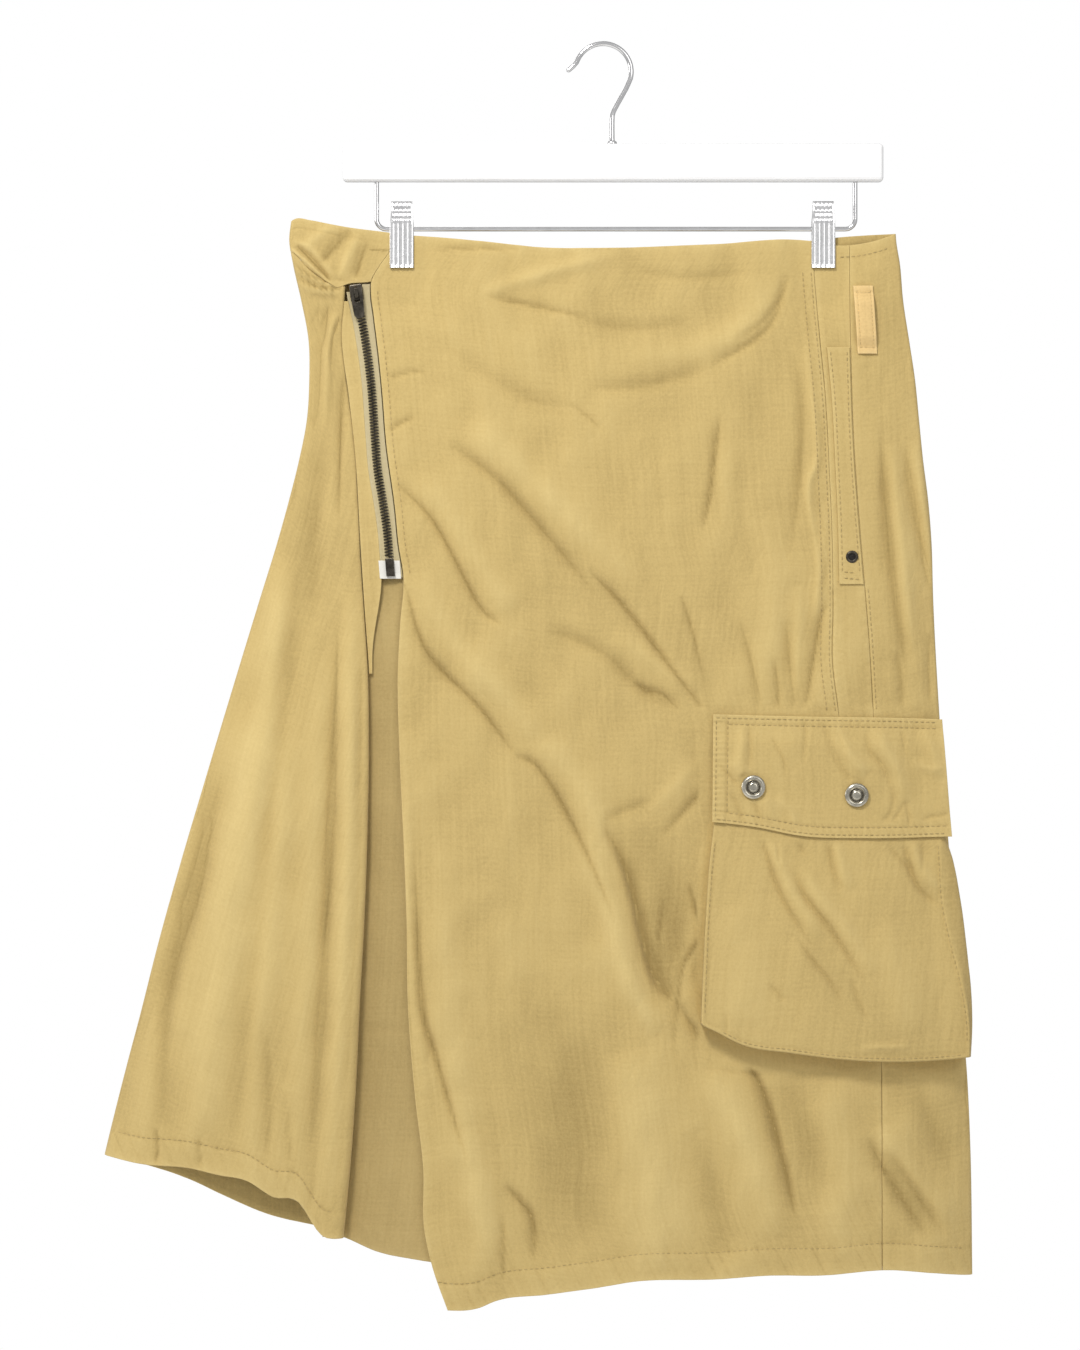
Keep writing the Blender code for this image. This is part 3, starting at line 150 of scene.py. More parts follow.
# The line of a longer fold runs through all four of its marks.
LINE_COLUMNS = "x0 d0 x1 d1 x2 d2 x3 d3 width height crisp lean"
FRONT_FOLDS = table(
    LINE_COLUMNS,
    (-129, 348, -115, 393, -81, 429, -55, 463, 3.2, -2.8, 0.9, 0.0),
    (-118, 342, -98, 386, -66, 420, -40, 452, 9, 2.2, 0.0, 0.0),
    (-58, 460, -40, 471, -14, 517, 10, 574, 3.4, -2.8, 0.9, 0.0),
    (-44, 450, -24, 466, 2, 514, 26, 566, 9, 2.2, 0.0, 0.0),
    (-134, 284, -109, 311, -81, 363, -66, 376, 2.8, -2.4, 0.9, 0.0),
    (-126, 276, -100, 304, -70, 352, -54, 364, 8, 1.8, 0.0, 0.0),
    (-100, 258, -70, 281, -40, 314, -2, 360, 4.4, -2.8, 0.6, 0.0),
    (-10, 340, 13, 364, 42, 402, 70, 438, 3.0, -2.8, 0.9, 0.0),
    (-88, 243, -58, 270, -18, 310, 34, 362, 10, 2.4, 0.0, 0.0),
    (-37, 379, -2, 393, 24, 417, 49, 430, 5.0, -2.2, 0.4, 0.0),
    (20, 413, 28, 419, 38, 421, 50, 432, 2.4, -1.6, 0.9, 0.0),
    (6, 380, 24, 394, 44, 408, 60, 420, 7, 1.4, 0.0, 0.0),
    (-1, 503, 16, 541, 31, 600, 47, 622, 5.5, -5.4, 0.8, -0.4),
    (-14, 510, 2, 556, 17, 606, 36, 640, 8, 3.6, 0.0, 0.0),
    (24, 505, 40, 540, 46, 580, 54, 616, 12, -2.2, 0.0, 0.0),
    (46, 618, 58, 636, 72, 652, 86, 668, 4.0, -2.6, 0.8, 0.0),
    (78, 641, 101, 673, 116, 723, 124, 760, 4.5, -4.2, 0.8, 0.3),
    (64, 660, 88, 700, 104, 740, 112, 772, 10, 3.0, 0.0, 0.0),
    (70, 476, 62, 486, 53, 496, 38, 513, 3.4, -2.4, 0.8, 0.0),
    (60, 464, 50, 478, 40, 488, 28, 497, 6, 1.6, 0.0, 0.0),
    (-2, 505, 8, 499, 20, 494, 36, 489, 4.0, -1.4, 0.4, 0.0),
    (55, 543, 58, 553, 60, 562, 63, 572, 2.0, -1.5, 0.9, 0.0),
    (63, 579, 56, 590, 50, 604, 45, 655, 2.4, -1.8, 0.8, 0.0),
    (39, 552, 37, 570, 35, 585, 34, 604, 2.2, -1.2, 0.8, 0.0),
    (60, 560, 57, 580, 52, 600, 49, 625, 6, 1.3, 0.0, 0.0),
    (-123, 520, -118, 618, -108, 657, -88, 724, 3.0, -3.4, 0.9, 0.0),
    (-128, 440, -125, 540, -120, 630, -113, 700, 3.5, 1.2, 0.0, 0.0),
    (-104, 500, -101, 610, -92, 700, -80, 770, 13, 2.6, 0.0, 0.0),
    (118, 148, 112, 175, 97, 192, 68, 209, 3.2, -2.0, 0.7, 0.0),
    (72, 208, 40, 218, 14, 222, -10, 222, 5.5, -1.6, 0.4, 0.0),
    (121, 146, 117, 160, 105, 178, 84, 194, 2.2, -1.4, 0.9, 0.0),
    (112, 150, 98, 180, 60, 198, 8, 206, 9, 1.5, 0.0, 0.0),
    (-107, 190, -78, 212, -46, 230, -18, 238, 7, -1.6, 0.3, 0.0),
    (-139, 250, -134, 247, -129, 244, -122, 241, 2.0, -1.4, 0.9, 0.0),
    (-140, 216, -132, 214, -124, 212, -114, 212, 2.2, -1.0, 0.8, 0.0),
    (76, 238, 72, 268, 69, 293, 64, 315, 2.6, -2.0, 0.8, 0.0),
    (85, 234, 81, 270, 79, 300, 74, 332, 7, 1.3, 0.0, 0.0),
    (50, 356, 55, 372, 60, 390, 65, 414, 2.4, -1.3, 0.8, 0.0),
    (-22, 232, -14, 238, -8, 243, 0, 251, 2.6, -1.0, 0.8, 0.0),
    (-81, 161, -50, 152, -20, 143, 12, 136, 5, 1.8, 0.2, 0.0),
    (-76, 163, -56, 167, -36, 171, -9, 177, 2.6, -1.6, 0.9, 0.0),
    (-121, 133, -98, 132, -76, 132, -52, 132, 1.8, -1.3, 0.9, 0.0),
    (-24, 176, 2, 182, 30, 183, 58, 178, 5, -1.2, 0.4, 0.0),
    (20, 146, 44, 150, 70, 150, 96, 146, 4, -1.0, 0.5, 0.0),
    (131, 190, 139, 262, 133, 288, 138, 324, 3.2, 2.0, 0.4, 0.0),
    (138, 318, 140, 340, 139, 356, 138, 374, 3.0, 1.6, 0.4, 0.0),
    (124, 198, 129, 240, 127, 282, 121, 334, 4.0, -1.7, 0.5, 0.0),
    (145, 360, 140, 377, 136, 400, 130, 434, 2.6, -2.0, 0.8, 0.0),
    (127, 350, 127, 380, 124, 410, 119, 434, 5, 1.6, 0.0, 0.0),
    (118, 372, 120, 396, 122, 416, 123, 434, 3.4, -1.6, 0.6, 0.0),
    (106, 300, 110, 340, 111, 380, 105, 432, 10, 1.6, 0.0, 0.0),
    (88, 372, 95, 398, 99, 416, 101, 434, 3.0, -1.3, 0.7, 0.0),
    (111, 398, 112, 410, 113, 422, 112, 434, 2.2, -1.3, 0.8, 0.0),
    (-64, 738, -53, 750, -46, 762, -45, 788, 3.2, -2.8, 0.8, 0.0),
    (-65, 756, -65, 770, -65, 786, -65, 802, 2.0, -1.5, 0.9, 0.0),
    (-88, 700, -80, 735, -77, 770, -76, 802, 9, 2.2, 0.0, 0.0),
    (20, 650, 28, 700, 34, 750, 40, 795, 22, 3.2, 0.0, 0.0),
    (-30, 600, -24, 670, -18, 730, -14, 795, 26, -2.4, 0.0, 0.0),
    (60, 700, 70, 735, 76, 765, 78, 792, 10, -2.0, 0.1, 0.0),
    (118, 668, 132, 698, 139, 725, 142, 756, 12, -2.2, 0.1, 0.0),
    (150, 668, 153, 710, 152, 750, 150, 788, 14, 2.2, 0.0, 0.0),
)
LEFT_FOLDS = table(
    LINE_COLUMNS,
    (-203, 139.5, -194, 146.5, -187, 151, -175, 155.5, 1.5, -2.0, 0.9, 0.0),
    (-203, 142, -193, 149.5, -185, 153.8, -171, 157, 1.4, 1.6, 0.3, 0.0),
    (-199, 148.5, -190, 153.8, -182, 157, -170, 158.2, 1.5, -2.0, 0.9, 0.0),
    (-197, 153, -188, 157.8, -180, 160, -169, 161, 2.0, 1.4, 0.2, 0.0),
    (-172, 376, -176, 490, -181, 600, -191, 765, 2.8, -3.4, 0.9, 0.0),
    (-163, 330, -164, 480, -169, 610, -179, 765, 6, 3.0, 0.0, 0.0),
    (-182, 400, -187, 520, -194, 640, -203, 745, 8, 1.6, 0.0, 0.0),
    (-157, 400, -157, 430, -158, 470, -158, 520, 2.0, -1.2, 0.8, 0.0),
    (-200, 400, -212, 520, -222, 620, -232, 735, 10, 2.2, 0.0, 0.0),
    (-214, 470, -221, 560, -232, 650, -240, 735, 7, -1.6, 0.2, 0.0),
    (-246, 470, -262, 540, -281, 620, -286, 706, 7, -3.8, 0.2, 0.0),
    (-228, 430, -240, 540, -252, 640, -266, 728, 13, 3.4, 0.0, 0.0),
    (-262, 560, -276, 620, -290, 660, -302, 720, 12, 2.4, 0.0, 0.0),
    (-219, 634, -217, 668, -217, 700, -219, 728, 3.4, -1.6, 0.6, 0.0),
    (-205, 680, -204, 700, -203, 718, -201, 740, 3.0, -1.4, 0.6, 0.0),
    (-178, 168, -182, 186, -186, 204, -188, 250, 2.6, -2.2, 0.8, 0.0),
    (-184, 168, -189, 188, -192, 206, -193, 236, 2.6, -1.8, 0.8, 0.0),
    (-173, 172, -176, 186, -179, 206, -181, 250, 3.0, 1.6, 0.0, 0.0),
    (-171, 176, -173, 182, -176, 192, -177, 212, 1.8, -1.4, 0.9, 0.0),
    (-168, 206, -170, 240, -171, 270, -172, 310, 2.4, -1.5, 0.6, 0.0),
    (-180, 250, -186, 300, -188, 340, -190, 390, 7, -2.0, 0.2, 0.0),
    (-205, 330, -214, 400, -223, 480, -232, 560, 11, 2.6, 0.0, 0.0),
    (-196, 320, -202, 390, -212, 470, -224, 545, 7, -2.2, 0.2, 0.0),
    (-290, 702, -289, 710, -289, 718, -289, 726, 1.8, -1.6, 0.8, 0.0),
    (-262, 708, -262, 714, -261, 722, -261, 729, 1.8, -1.2, 0.8, 0.0),
    (-204, 138, -194, 146, -186, 152, -176, 157, 1.3, 1.4, 0.2, 0.0),
    (-201, 141, -190, 150, -183, 154, -175, 158, 1.0, -1.3, 0.9, 0.0),
    (-200, 145, -191, 152.5, -184, 155, -175, 158, 1.2, 1.2, 0.3, 0.0),
    (-199, 150, -192, 155, -185, 157, -174, 159, 1.0, -1.3, 0.9, 0.0),
    (-198, 155, -190, 159, -182, 160, -174, 160, 2.0, 1.2, 0.3, 0.0),
)
YOKE_FOLDS = table(
    LINE_COLUMNS,
    (-199, 129.5, -191, 138, -184, 145.5, -176.5, 154, 1.6, -2.4, 0.9, 0.0),
    (-205, 130, -194, 139, -185.5, 147, -175, 156, 1.5, 1.8, 0.3, 0.0),
    (-206, 135, -197, 141.5, -188, 148, -177, 156, 0.9, -1.4, 0.9, 0.0),
    (-202, 126, -192, 131, -183, 139, -174, 152, 2.4, 1.2, 0.0, 0.0),
    (-163, 120, -170, 126, -178, 135, -184, 142, 3.2, -1.9, 0.5, 0.0),
    (-172, 118, -182, 122, -190, 128, -196, 133, 4.0, 1.2, 0.0, 0.0),
    (-152, 127, -156, 135, -159, 144, -161, 152, 2.6, -2.0, 0.7, 0.0),
    (-158, 122, -163, 132, -167, 142, -170, 152, 3.6, 1.5, 0.0, 0.0),
    (-140, 136, -145, 142, -149, 148, -152, 153, 2.2, 1.2, 0.2, 0.0),
    (-152, 133, -148, 132.6, -143, 132.6, -136, 132.5, 1.4, -1.5, 0.9, 0.0),
)
SIDE_FOLDS = table(
    FOLD_COLUMNS,
    (181, 262, 185, 330, 196, 406, 3.6, -2.4, 0.7, 0.0),
    (188, 256, 192, 330, 204, 410, 5, 2.0, 0.1, 0.0),
    (196, 262, 203, 310, 213, 356, 3.4, -2.0, 0.7, 0.0),
    (202, 256, 208, 300, 217, 346, 4, 1.6, 0.1, 0.0),
    (168, 206, 176, 250, 180, 300, 5, -1.2, 0.3, 0.0),
    (171, 708, 184, 738, 212, 775, 5, -3.0, 0.7, 0.0),
    (184, 716, 202, 744, 221, 772, 4.5, -2.4, 0.7, 0.0),
    (178, 700, 196, 728, 226, 764, 7, 2.0, 0.0, 0.0),
    (200, 670, 212, 700, 226, 730, 8, -1.8, 0.2, 0.0),
    (190, 392, 194, 412, 193, 432, 3.5, -1.8, 0.7, 0.0),
    (212, 380, 213, 404, 211, 432, 4, -1.5, 0.6, 0.0),
)
BACK_FOLDS = table(
    FOLD_COLUMNS,
    (-120, 200, -150, 420, -210, 740, 16, 4.0, 0.0, 0.0),
    (-70, 240, -90, 470, -130, 770, 14, -4.0, 0.2, 0.0),
    (-20, 260, -30, 500, -60, 780, 18, 4.2, 0.0, 0.0),
    (40, 250, 44, 500, 30, 780, 14, -3.8, 0.2, 0.0),
    (95, 230, 110, 480, 104, 780, 18, 4.0, 0.0, 0.0),
    (150, 260, 168, 480, 172, 780, 13, -3.4, 0.2, 0.0),
    (-205, 380, -236, 540, -268, 720, 13, -3.2, 0.1, 0.0),
    (-120, 160, -40, 215, 60, 190, 8, -2.2, 0.5, 0.0),
    (-100, 150, -60, 178, 0, 182, 5, -1.4, 0.8, 0.0),
    (118, 152, 88, 204, 30, 232, 6, -2.0, 0.7, 0.0),
    (-110, 320, -40, 372, 10, 470, 6, -2.4, 0.8, 0.4),
    (-96, 312, -26, 360, 26, 458, 10, 2.0, 0.0, 0.0),
    (60, 420, 20, 500, -30, 560, 6, -2.2, 0.7, 0.0),
    (-180, 430, -140, 520, -120, 640, 7, -2.2, 0.6, 0.0),
    (120, 560, 90, 620, 84, 720, 7, -2.2, 0.7, 0.0),
    (176, 300, 184, 400, 190, 520, 5, -1.8, 0.6, 0.0),
    (-20, 700, -6, 744, 0, 780, 5, -2.0, 0.7, 0.0),
)
CALM = table(
    "left right top foot soft",
    (64, 250, 432, 662, 5),
    (147, 178, 192, 352, 3),
    (160, 182, 150, 206, 4),
)
POCKET_TOP = 462.0
POCKET_SIDES = table(
    "drop left right bulge",
    (455, 73.4, 213.0, 215.6), (500, 72.0, 217.0, 219.8), (515, 70.4, 218.6, 222.4),
    (530, 68.6, 219.4, 227.4), (556, 66.6, 221.0, 232.6), (581, 65.2, 226.0, 235.6),
    (610, 63.8, 233.0, 238.0), (633, 63.0, 236.5, 238.4), (660, 63.0, 236.6, 237.4),
)
POCKET_FOOT = table(
    "across drop",
    (60, 632), (63, 634), (73, 639), (89, 647), (121, 652.5), (157, 657), (194, 658.5),
    (235, 656), (242, 655),
)
POCKET_STAND = table(
    "drop stand", (455, 2.4), (500, 3.4), (530, 5.4), (570, 8.8), (610, 12.0), (640, 13.0), (665, 12.0),
)
POCKET_FOLDS = table(
    LINE_COLUMNS,
    (102, 508, 107, 529, 117, 555, 137, 587, 2.0, -1.8, 0.9, 0.0),
    (108, 508, 114, 530, 124, 552, 142, 580, 5, 2.0, 0.0, 0.0),
    (123, 536, 130, 552, 148, 575, 171, 610, 2.0, -1.9, 0.9, 0.0),
    (128, 532, 138, 550, 156, 572, 176, 602, 5, 2.0, 0.0, 0.0),
    (125, 578, 134, 592, 146, 607, 154, 620, 2.0, -1.5, 0.8, 0.0),
    (160, 604, 162, 612, 165, 622, 171, 632, 2.2, -1.2, 0.7, 0.0),
    (145, 513, 147, 524, 149, 536, 153, 550, 2.0, -1.6, 0.8, 0.0),
    (149, 510, 152, 522, 155, 536, 160, 548, 4, 1.4, 0.0, 0.0),
    (194, 514, 198, 532, 204, 547, 217, 558, 2.2, -2.0, 0.9, 0.0),
    (199, 512, 204, 528, 210, 540, 219, 548, 4.5, 1.8, 0.0, 0.0),
    (184, 518, 190, 526, 196, 532, 200, 540, 2.0, -1.2, 0.8, 0.0),
    (165, 650, 176, 649, 186, 649, 198, 648.5, 2.4, 1.2, 0.2, 0.0),
    (107, 608, 110, 612, 114, 616, 117, 619, 2.2, -1.0, 0.7, 0.0),
    (79, 626, 79, 631, 79, 636, 79, 640, 1.4, -0.9, 0.8, 0.0),
    (84, 556, 88, 580, 90, 610, 88, 636, 14, 1.2, 0.0, 0.0),
    (180, 570, 188, 592, 194, 616, 198, 642, 14, 1.4, 0.0, 0.0),
    (110, 512, 112, 518, 113, 524, 114, 532, 1.8, -1.1, 0.8, 0.0),
    (124, 512, 126, 517, 128, 521, 131, 526, 1.8, -1.2, 0.8, 0.0),
    (206, 512, 207, 520, 207, 530, 206, 540, 2.0, -1.0, 0.7, 0.0),
)
FLAP_SIDES = table("drop left right", (432, 71.2, 219.4), (515, 70.2, 226.0))
FLAP_TOP = table("across drop", (70, 434.2), (120, 435.4), (220, 437.6), (228, 438.0))
FLAP_FOOT = table("across drop", (69, 503.6), (97, 507.0), (129, 513.0), (170, 514.4), (228, 513.4))
FLAP_FOLDS = table(
    LINE_COLUMNS,
    (94.7, 440, 95, 450, 95, 460, 94.7, 471, 1.7, -1.0, 0.9, 0.0),
    (90, 440, 90, 450, 89, 462, 88, 470, 3.4, 1.2, 0.0, 0.0),
    (73, 465, 87, 480, 99, 495, 102, 507, 1.7, -1.2, 0.9, 0.0),
    (80, 464, 92, 474, 106, 490, 110, 504, 4.0, 1.4, 0.0, 0.0),
    (81, 483, 85, 490, 88, 497, 92, 508, 1.7, -1.0, 0.9, 0.0),
    (109, 449, 113, 457, 117, 466, 118, 476, 1.7, -1.0, 0.9, 0.0),
    (130.5, 438, 131, 448, 130, 456, 129.5, 466, 1.6, -0.9, 0.8, 0.0),
    (142, 439, 149, 459, 157, 473, 164, 479, 1.9, -1.3, 0.9, 0.0),
    (149, 438, 156, 454, 164, 466, 172, 472, 4.4, 1.8, 0.0, 0.0),
    (150, 444, 153, 450, 155, 454, 158, 458, 1.6, -0.8, 0.8, 0.0),
    (170, 444, 172, 458, 181, 468, 187, 484, 1.9, -1.3, 0.9, 0.0),
    (187, 480, 188, 490, 186, 498, 180, 505, 1.9, -1.2, 0.9, 0.0),
    (177, 442, 182, 456, 191, 470, 195, 492, 5.0, 1.8, 0.0, 0.0),
    (193, 444, 194, 449, 195, 455, 196, 461, 1.6, -0.9, 0.8, 0.0),
    (196, 490, 197, 496, 198, 502, 198, 508, 1.6, -1.1, 0.9, 0.0),
    (195, 491, 192, 497, 189, 501, 186, 504, 1.6, -0.9, 0.8, 0.0),
    (206, 503, 212, 501, 219, 500, 226, 498, 1.7, -0.9, 0.8, 0.0),
    (224, 474, 224.5, 484, 224.7, 495, 225, 507, 1.8, -0.9, 0.8, 0.0),
    (112, 486, 116, 492, 122, 498, 124, 508, 3.4, 1.2, 0.3, 0.0),
    (206, 444, 210, 450, 214, 460, 216, 476, 4.0, 1.2, 0.2, 0.0),
    (200, 464, 206, 468, 214, 470, 222, 468, 3.4, 1.0, 0.3, 0.0),
)
SNAPS = table("across drop", (96.9, 481.3), (163.8, 486.5))
EYELET = (161.2, 332.2)


def smooth(places, points, heights):
    """Cubic curve through the points, whose slope at each comes from its neighbours."""
    places = np.asarray(places, dtype=float)
    slopes = np.gradient(heights, points)
    index = np.clip(np.searchsorted(points, places) - 1, 0, len(points) - 2)
    step = points[index + 1] - points[index]
    part = np.clip((places - points[index]) / step, 0.0, 1.0)
    start = heights[index] * (2 * part**3 - 3 * part**2 + 1)
    leave = slopes[index] * step * (part**3 - 2 * part**2 + part)
    end = heights[index + 1] * (3 * part**2 - 2 * part**3)
    arrive = slopes[index + 1] * step * (part**3 - part**2)
    return start + leave + end + arrive


def across(rows, drop, column="across"):
    """A column of a table that is listed by drop."""
    return smooth(drop, rows["drop"], rows[column])


def drop_at(rows, x):
    """The drop of a table that is listed from left to right."""
    return smooth(x, rows["across"], rows["drop"])


def ease(value):
    """0 to 1 with a soft start and end."""
    value = np.clip(value, 0.0, 1.0)
    return value * value * (3 - 2 * value)


def middle_and_reach(drop):
    """The ring's middle and half its width."""
    left, right = across(BODY, drop, "left"), across(BODY, drop, "right")
    return (left + right) / 2, (right - left) / 2


def pressed(x, drop):
    """1 where a clip presses front and back together, falling to 0 away from the clips."""
    near = sum(np.exp(-(((x - clip) / PINCH_WIDTH) ** 2)) for clip in CLIP_ACROSS)
    return np.clip(PINCH_FLAT * near / (1 + np.exp((drop - PINCH_END) / PINCH_SOFT)), 0.0, 1.0)


def body_depth(x, drop):
    """Distance of the cloth's outer face from the hanger's plane: a rounded edge, then a soft bulge."""
    left, right = across(BODY, drop, "left"), across(BODY, drop, "right")
    inside = np.maximum(np.minimum(x - left, right - x), 0.0)
    rounded = np.sqrt(EDGE_RADIUS**2 - (EDGE_RADIUS - np.minimum(inside, EDGE_RADIUS)) ** 2)
    bulge = (across(BODY, drop, "depth") - EDGE_RADIUS) * (1 - np.exp(-inside / BULGE_REACH))
    held = ease(inside / 12.0) * pressed(x, drop)
    plain = rounded + bulge
    return plain + held * (SOLID_CLOTH + GAP / 2 - plain)


def angle_at(x, drop):
    """The ring's angle on the front where it crosses x."""
    middle, reach = middle_and_reach(drop)
    return np.arcsin(np.clip((x - middle) / reach, -1.0, 1.0))


def ring_point(angle, drop):
    """x and y of the unfolded ring at an angle."""
    middle, reach = middle_and_reach(drop)
    x = middle + reach * np.sin(angle)
    return x, -np.sign(np.cos(angle)) * body_depth(x, drop)


def ring_inward(angle, drop):
    """Unit direction into the skirt, square to the unfolded ring."""
    nudge = 0.012
    ahead_x, ahead_y = ring_point(angle + nudge, drop)
    behind_x, behind_y = ring_point(angle - nudge, drop)
    along_x, along_y = ahead_x - behind_x, ahead_y - behind_y
    length = np.hypot(along_x, along_y)
    return -along_y / length, along_x / length


def fold_line(marks, part):
    """A fold's line: bent towards its middle mark if it has three, through all its marks if it has four."""
    if len(marks) == 4:
        return smooth(part, np.linspace(0.0, 1.0, 4), np.array(marks))
    return marks[0] * (1 - part) ** 2 + 2 * marks[1] * part * (1 - part) + marks[2] * part**2


def fold_height(x, drop, folds):
    """Sum of ridges and troughs along curved lines.

    A soft fold falls off as a bell with the distance from its line, and a crisp one as a rounded V.
    lean widens one side and narrows the other. Each fold dies away towards both ends.
    """
    total = np.zeros(np.broadcast(x, drop).shape)
    x, drop = x + total, drop + total
    part = np.linspace(0.0, 1.0, LINE_STEPS)
    for *line, width, height, crisp, lean in zip(*folds.values()):
        line_x, line_d = fold_line(line[::2], part), fold_line(line[1::2], part)
        reach = 4.5 * width
        near = (x > line_x.min() - reach) & (x < line_x.max() + reach)
        near &= (drop > line_d.min() - reach) & (drop < line_d.max() + reach)
        if not near.any():
            continue
        step_x, step_d = np.diff(line_x), np.diff(line_d)
        from_x, from_d = x[near][:, None] - line_x[:-1], drop[near][:, None] - line_d[:-1]
        share = np.clip((from_x * step_x + from_d * step_d) / (step_x**2 + step_d**2), 0.0, 1.0)
        off_x, off_d = from_x - share * step_x, from_d - share * step_d
        square = off_x**2 + off_d**2
        best = np.argmin(square, axis=1)
        pick = np.arange(len(best))
        side = np.sign(step_x[best] * off_d[pick, best] - step_d[best] * off_x[pick, best])
        reached = (best + share[pick, best]) / (LINE_STEPS - 1)
        away = np.sqrt(square[pick, best]) / (width * (1 + lean * side))
        bell = np.exp(-(away**2))
        valley = np.exp(-1.5 * (np.sqrt(away**2 + 0.03) - 0.17))
        strength = 1 - np.abs(2 * reached - 1) ** 3
        total[near] += CREASE_DEPTH * height * strength * (bell + crisp * (valley - bell))
    return total


def calm(x, drop):
    """1 on open cloth, falling to 0 where a flat piece lies on it."""
    free = np.ones(np.broadcast(x, drop).shape)
    for left, right, top, foot, soft in zip(*CALM.values()):
        side = ease((x - left) / soft + 1) * ease((right - x) / soft + 1)
        free = free * (1 - side * ease((drop - top) / soft + 1) * ease((foot - drop) / soft + 1))
    return free


def uneven(place, pitch, seed):
    """An irregular wave along a line: three sines whose lengths have no common measure."""
    phase = np.random.default_rng(seed).uniform(0.0, 2 * math.pi, 3)
    turns = 2 * math.pi * place / pitch
    return (np.sin(turns + phase[0]) + 0.7 * np.sin(1.618 * turns + phase[1])
            + 0.5 * np.sin(0.57 * turns + phase[2])) / 2.2


def ruffles(place, pitch, seed):
    """Gathers along a line of stitches: rounded crests with narrow valleys at uneven distances."""
    turns = place / pitch + 0.3 * uneven(place, 4.3 * pitch, seed)
    strength = 0.65 + 0.35 * uneven(place, 3.1 * pitch, seed + 100)
    return strength * (2 * np.abs(np.sin(math.pi * turns)) ** 0.6 - 1.2)


def crumple(x, drop, seed, count=22):
    """Soft all-over unevenness: many plane waves of 18 to 90 mm, mostly running down the cloth.

    Every third wave is folded over at its middle, which gives it a sharp crest as creased cotton has.
    """
    chance = np.random.default_rng(seed)
    total = np.zeros(np.broadcast(x, drop).shape)
    for number in range(count):
        length = 18.0 * 5.0 ** chance.uniform()
        heading = chance.normal(0.0, 0.55)
        phase = chance.uniform(0.0, 2 * math.pi)
        along_it = drop * math.cos(heading) - x * math.sin(heading)
        bend = 0.5 * np.sin(2 * math.pi * along_it / (length * 2.7) + phase)
        wave = np.sin(2 * math.pi * (x * math.cos(heading) + drop * math.sin(heading)) / length + phase + bend)
        if number % 3 == 0:
            wave = 0.6 - np.abs(wave)
        total += wave * length / 40.0
    return total / math.sqrt(count)


def seam_pucker(distance, place, pitch, height, seed, spread=5.0):
    """Small gathers beside a line of stitches, strongest on the line, with a shallow groove along it."""
    near = np.exp(-np.abs(distance) / spread)
    groove = 0.35 * np.exp(-((distance / 0.9) ** 2))
    return height * near * ruffles(place + 0.5 * distance, pitch, seed) - groove


def hem_relief(x, drop, hem, seed):
    """A turned hem: a groove at its stitches, slanting ripples below them and a slightly full edge."""
    up = hem - drop
    inside = ease((HEM_DEEP + 2.0 - up) / 3.0)
    ripple = 0.4 * inside * ruffles(x + 0.5 * up, 12.0, seed)
    above = 0.35 * np.exp(-np.abs(up - HEM_DEEP) / 6.0) * ruffles(x, 10.0, seed + 1)
    groove = -0.55 * np.exp(-(((up - HEM_DEEP) / 1.1) ** 2))
    return ripple + above + groove + 0.5 * inside


def limit(height, depth):
    """No trough reaches the other side, and folds fade at the ring's edges."""
    room = np.maximum(depth - SOLID_CLOTH - GAP, 0.0)
    return np.maximum(height, -0.62 * room) * ease(depth / 4.0)


def front_relief(x, drop):
    """Everything that moves the front out of the plain ring: folds, seam puckers, waist and hem."""
    folds = fold_height(x, drop, FRONT_FOLDS) + fold_height(x, drop, SIDE_FOLDS)
    folds = folds + 0.55 * crumple(x, drop, 5)
    first = x - across(FIRST_SEAM, drop)
    side = x - across(SIDE_SEAM, drop)
    above_pocket = ease((640.0 - drop) / 20.0)
    folds = folds + above_pocket * seam_pucker(first, drop, 6.5, 0.42, 11, 5.0)
    folds = folds + seam_pucker(side, drop, 8.0, 0.34, 12)
    edge = x - across(FRONT_LEFT_EDGE, drop)
    folds = folds + 0.3 * np.exp(-np.abs(edge - 5.0) / 3.0) * uneven(drop, 12.0, 13)
    below_top = drop - drop_at(FRONT_TOP, x)
    folds = folds - 0.4 * np.exp(-(((below_top - 7.5) / 1.0) ** 2)) * ease((x - 150.0) / 8.0)
    folds = folds + 0.5 * np.exp(-below_top / 14.0) * uneven(x, 21.0, 14)
    near_clip = sum(np.exp(-(((x - clip) / 30.0) ** 2)) for clip in CLIP_ACROSS)
    folds = folds + 0.5 * near_clip * np.exp(-(((drop - 160.0) / 14.0) ** 2)) * uneven(x, 9.0, 15)
    height = folds * calm(x, drop) + hem_relief(x, drop, drop_at(FRONT_HEM, x), 16)
    return limit(height * (1 - pressed(x, drop)), body_depth(x, drop))


def left_relief(x, drop):
    """The left panel: long soft folds from the waist, fine gathers under the yoke, and its hem."""
    folds = fold_height(x, drop, LEFT_FOLDS) + 0.5 * crumple(x, drop, 21)
    below_yoke = drop - drop_at(YOKE_FOOT, x)
    folds = folds + 0.5 * np.exp(-below_yoke / 16.0) * uneven(x, 8.0, 22)
    folds = folds + hem_relief(x, drop, drop_at(LEFT_HEM, x), 23)
    return limit(folds, body_depth(x, drop))


def yoke_relief(x, drop):
    """The twisted tab: ropes of cloth that meet at the foot of the yoke."""
    folds = fold_height(x, drop, YOKE_FOLDS) + 0.12 * crumple(x, drop, 31)
    below_top = drop - drop_at(YOKE_TOP, x)
    folds = folds - 0.5 * np.exp(-(((below_top - 6.5) / 0.9) ** 2))
    return limit(folds * (1 - 0.8 * pressed(x, drop)), body_depth(x, drop))


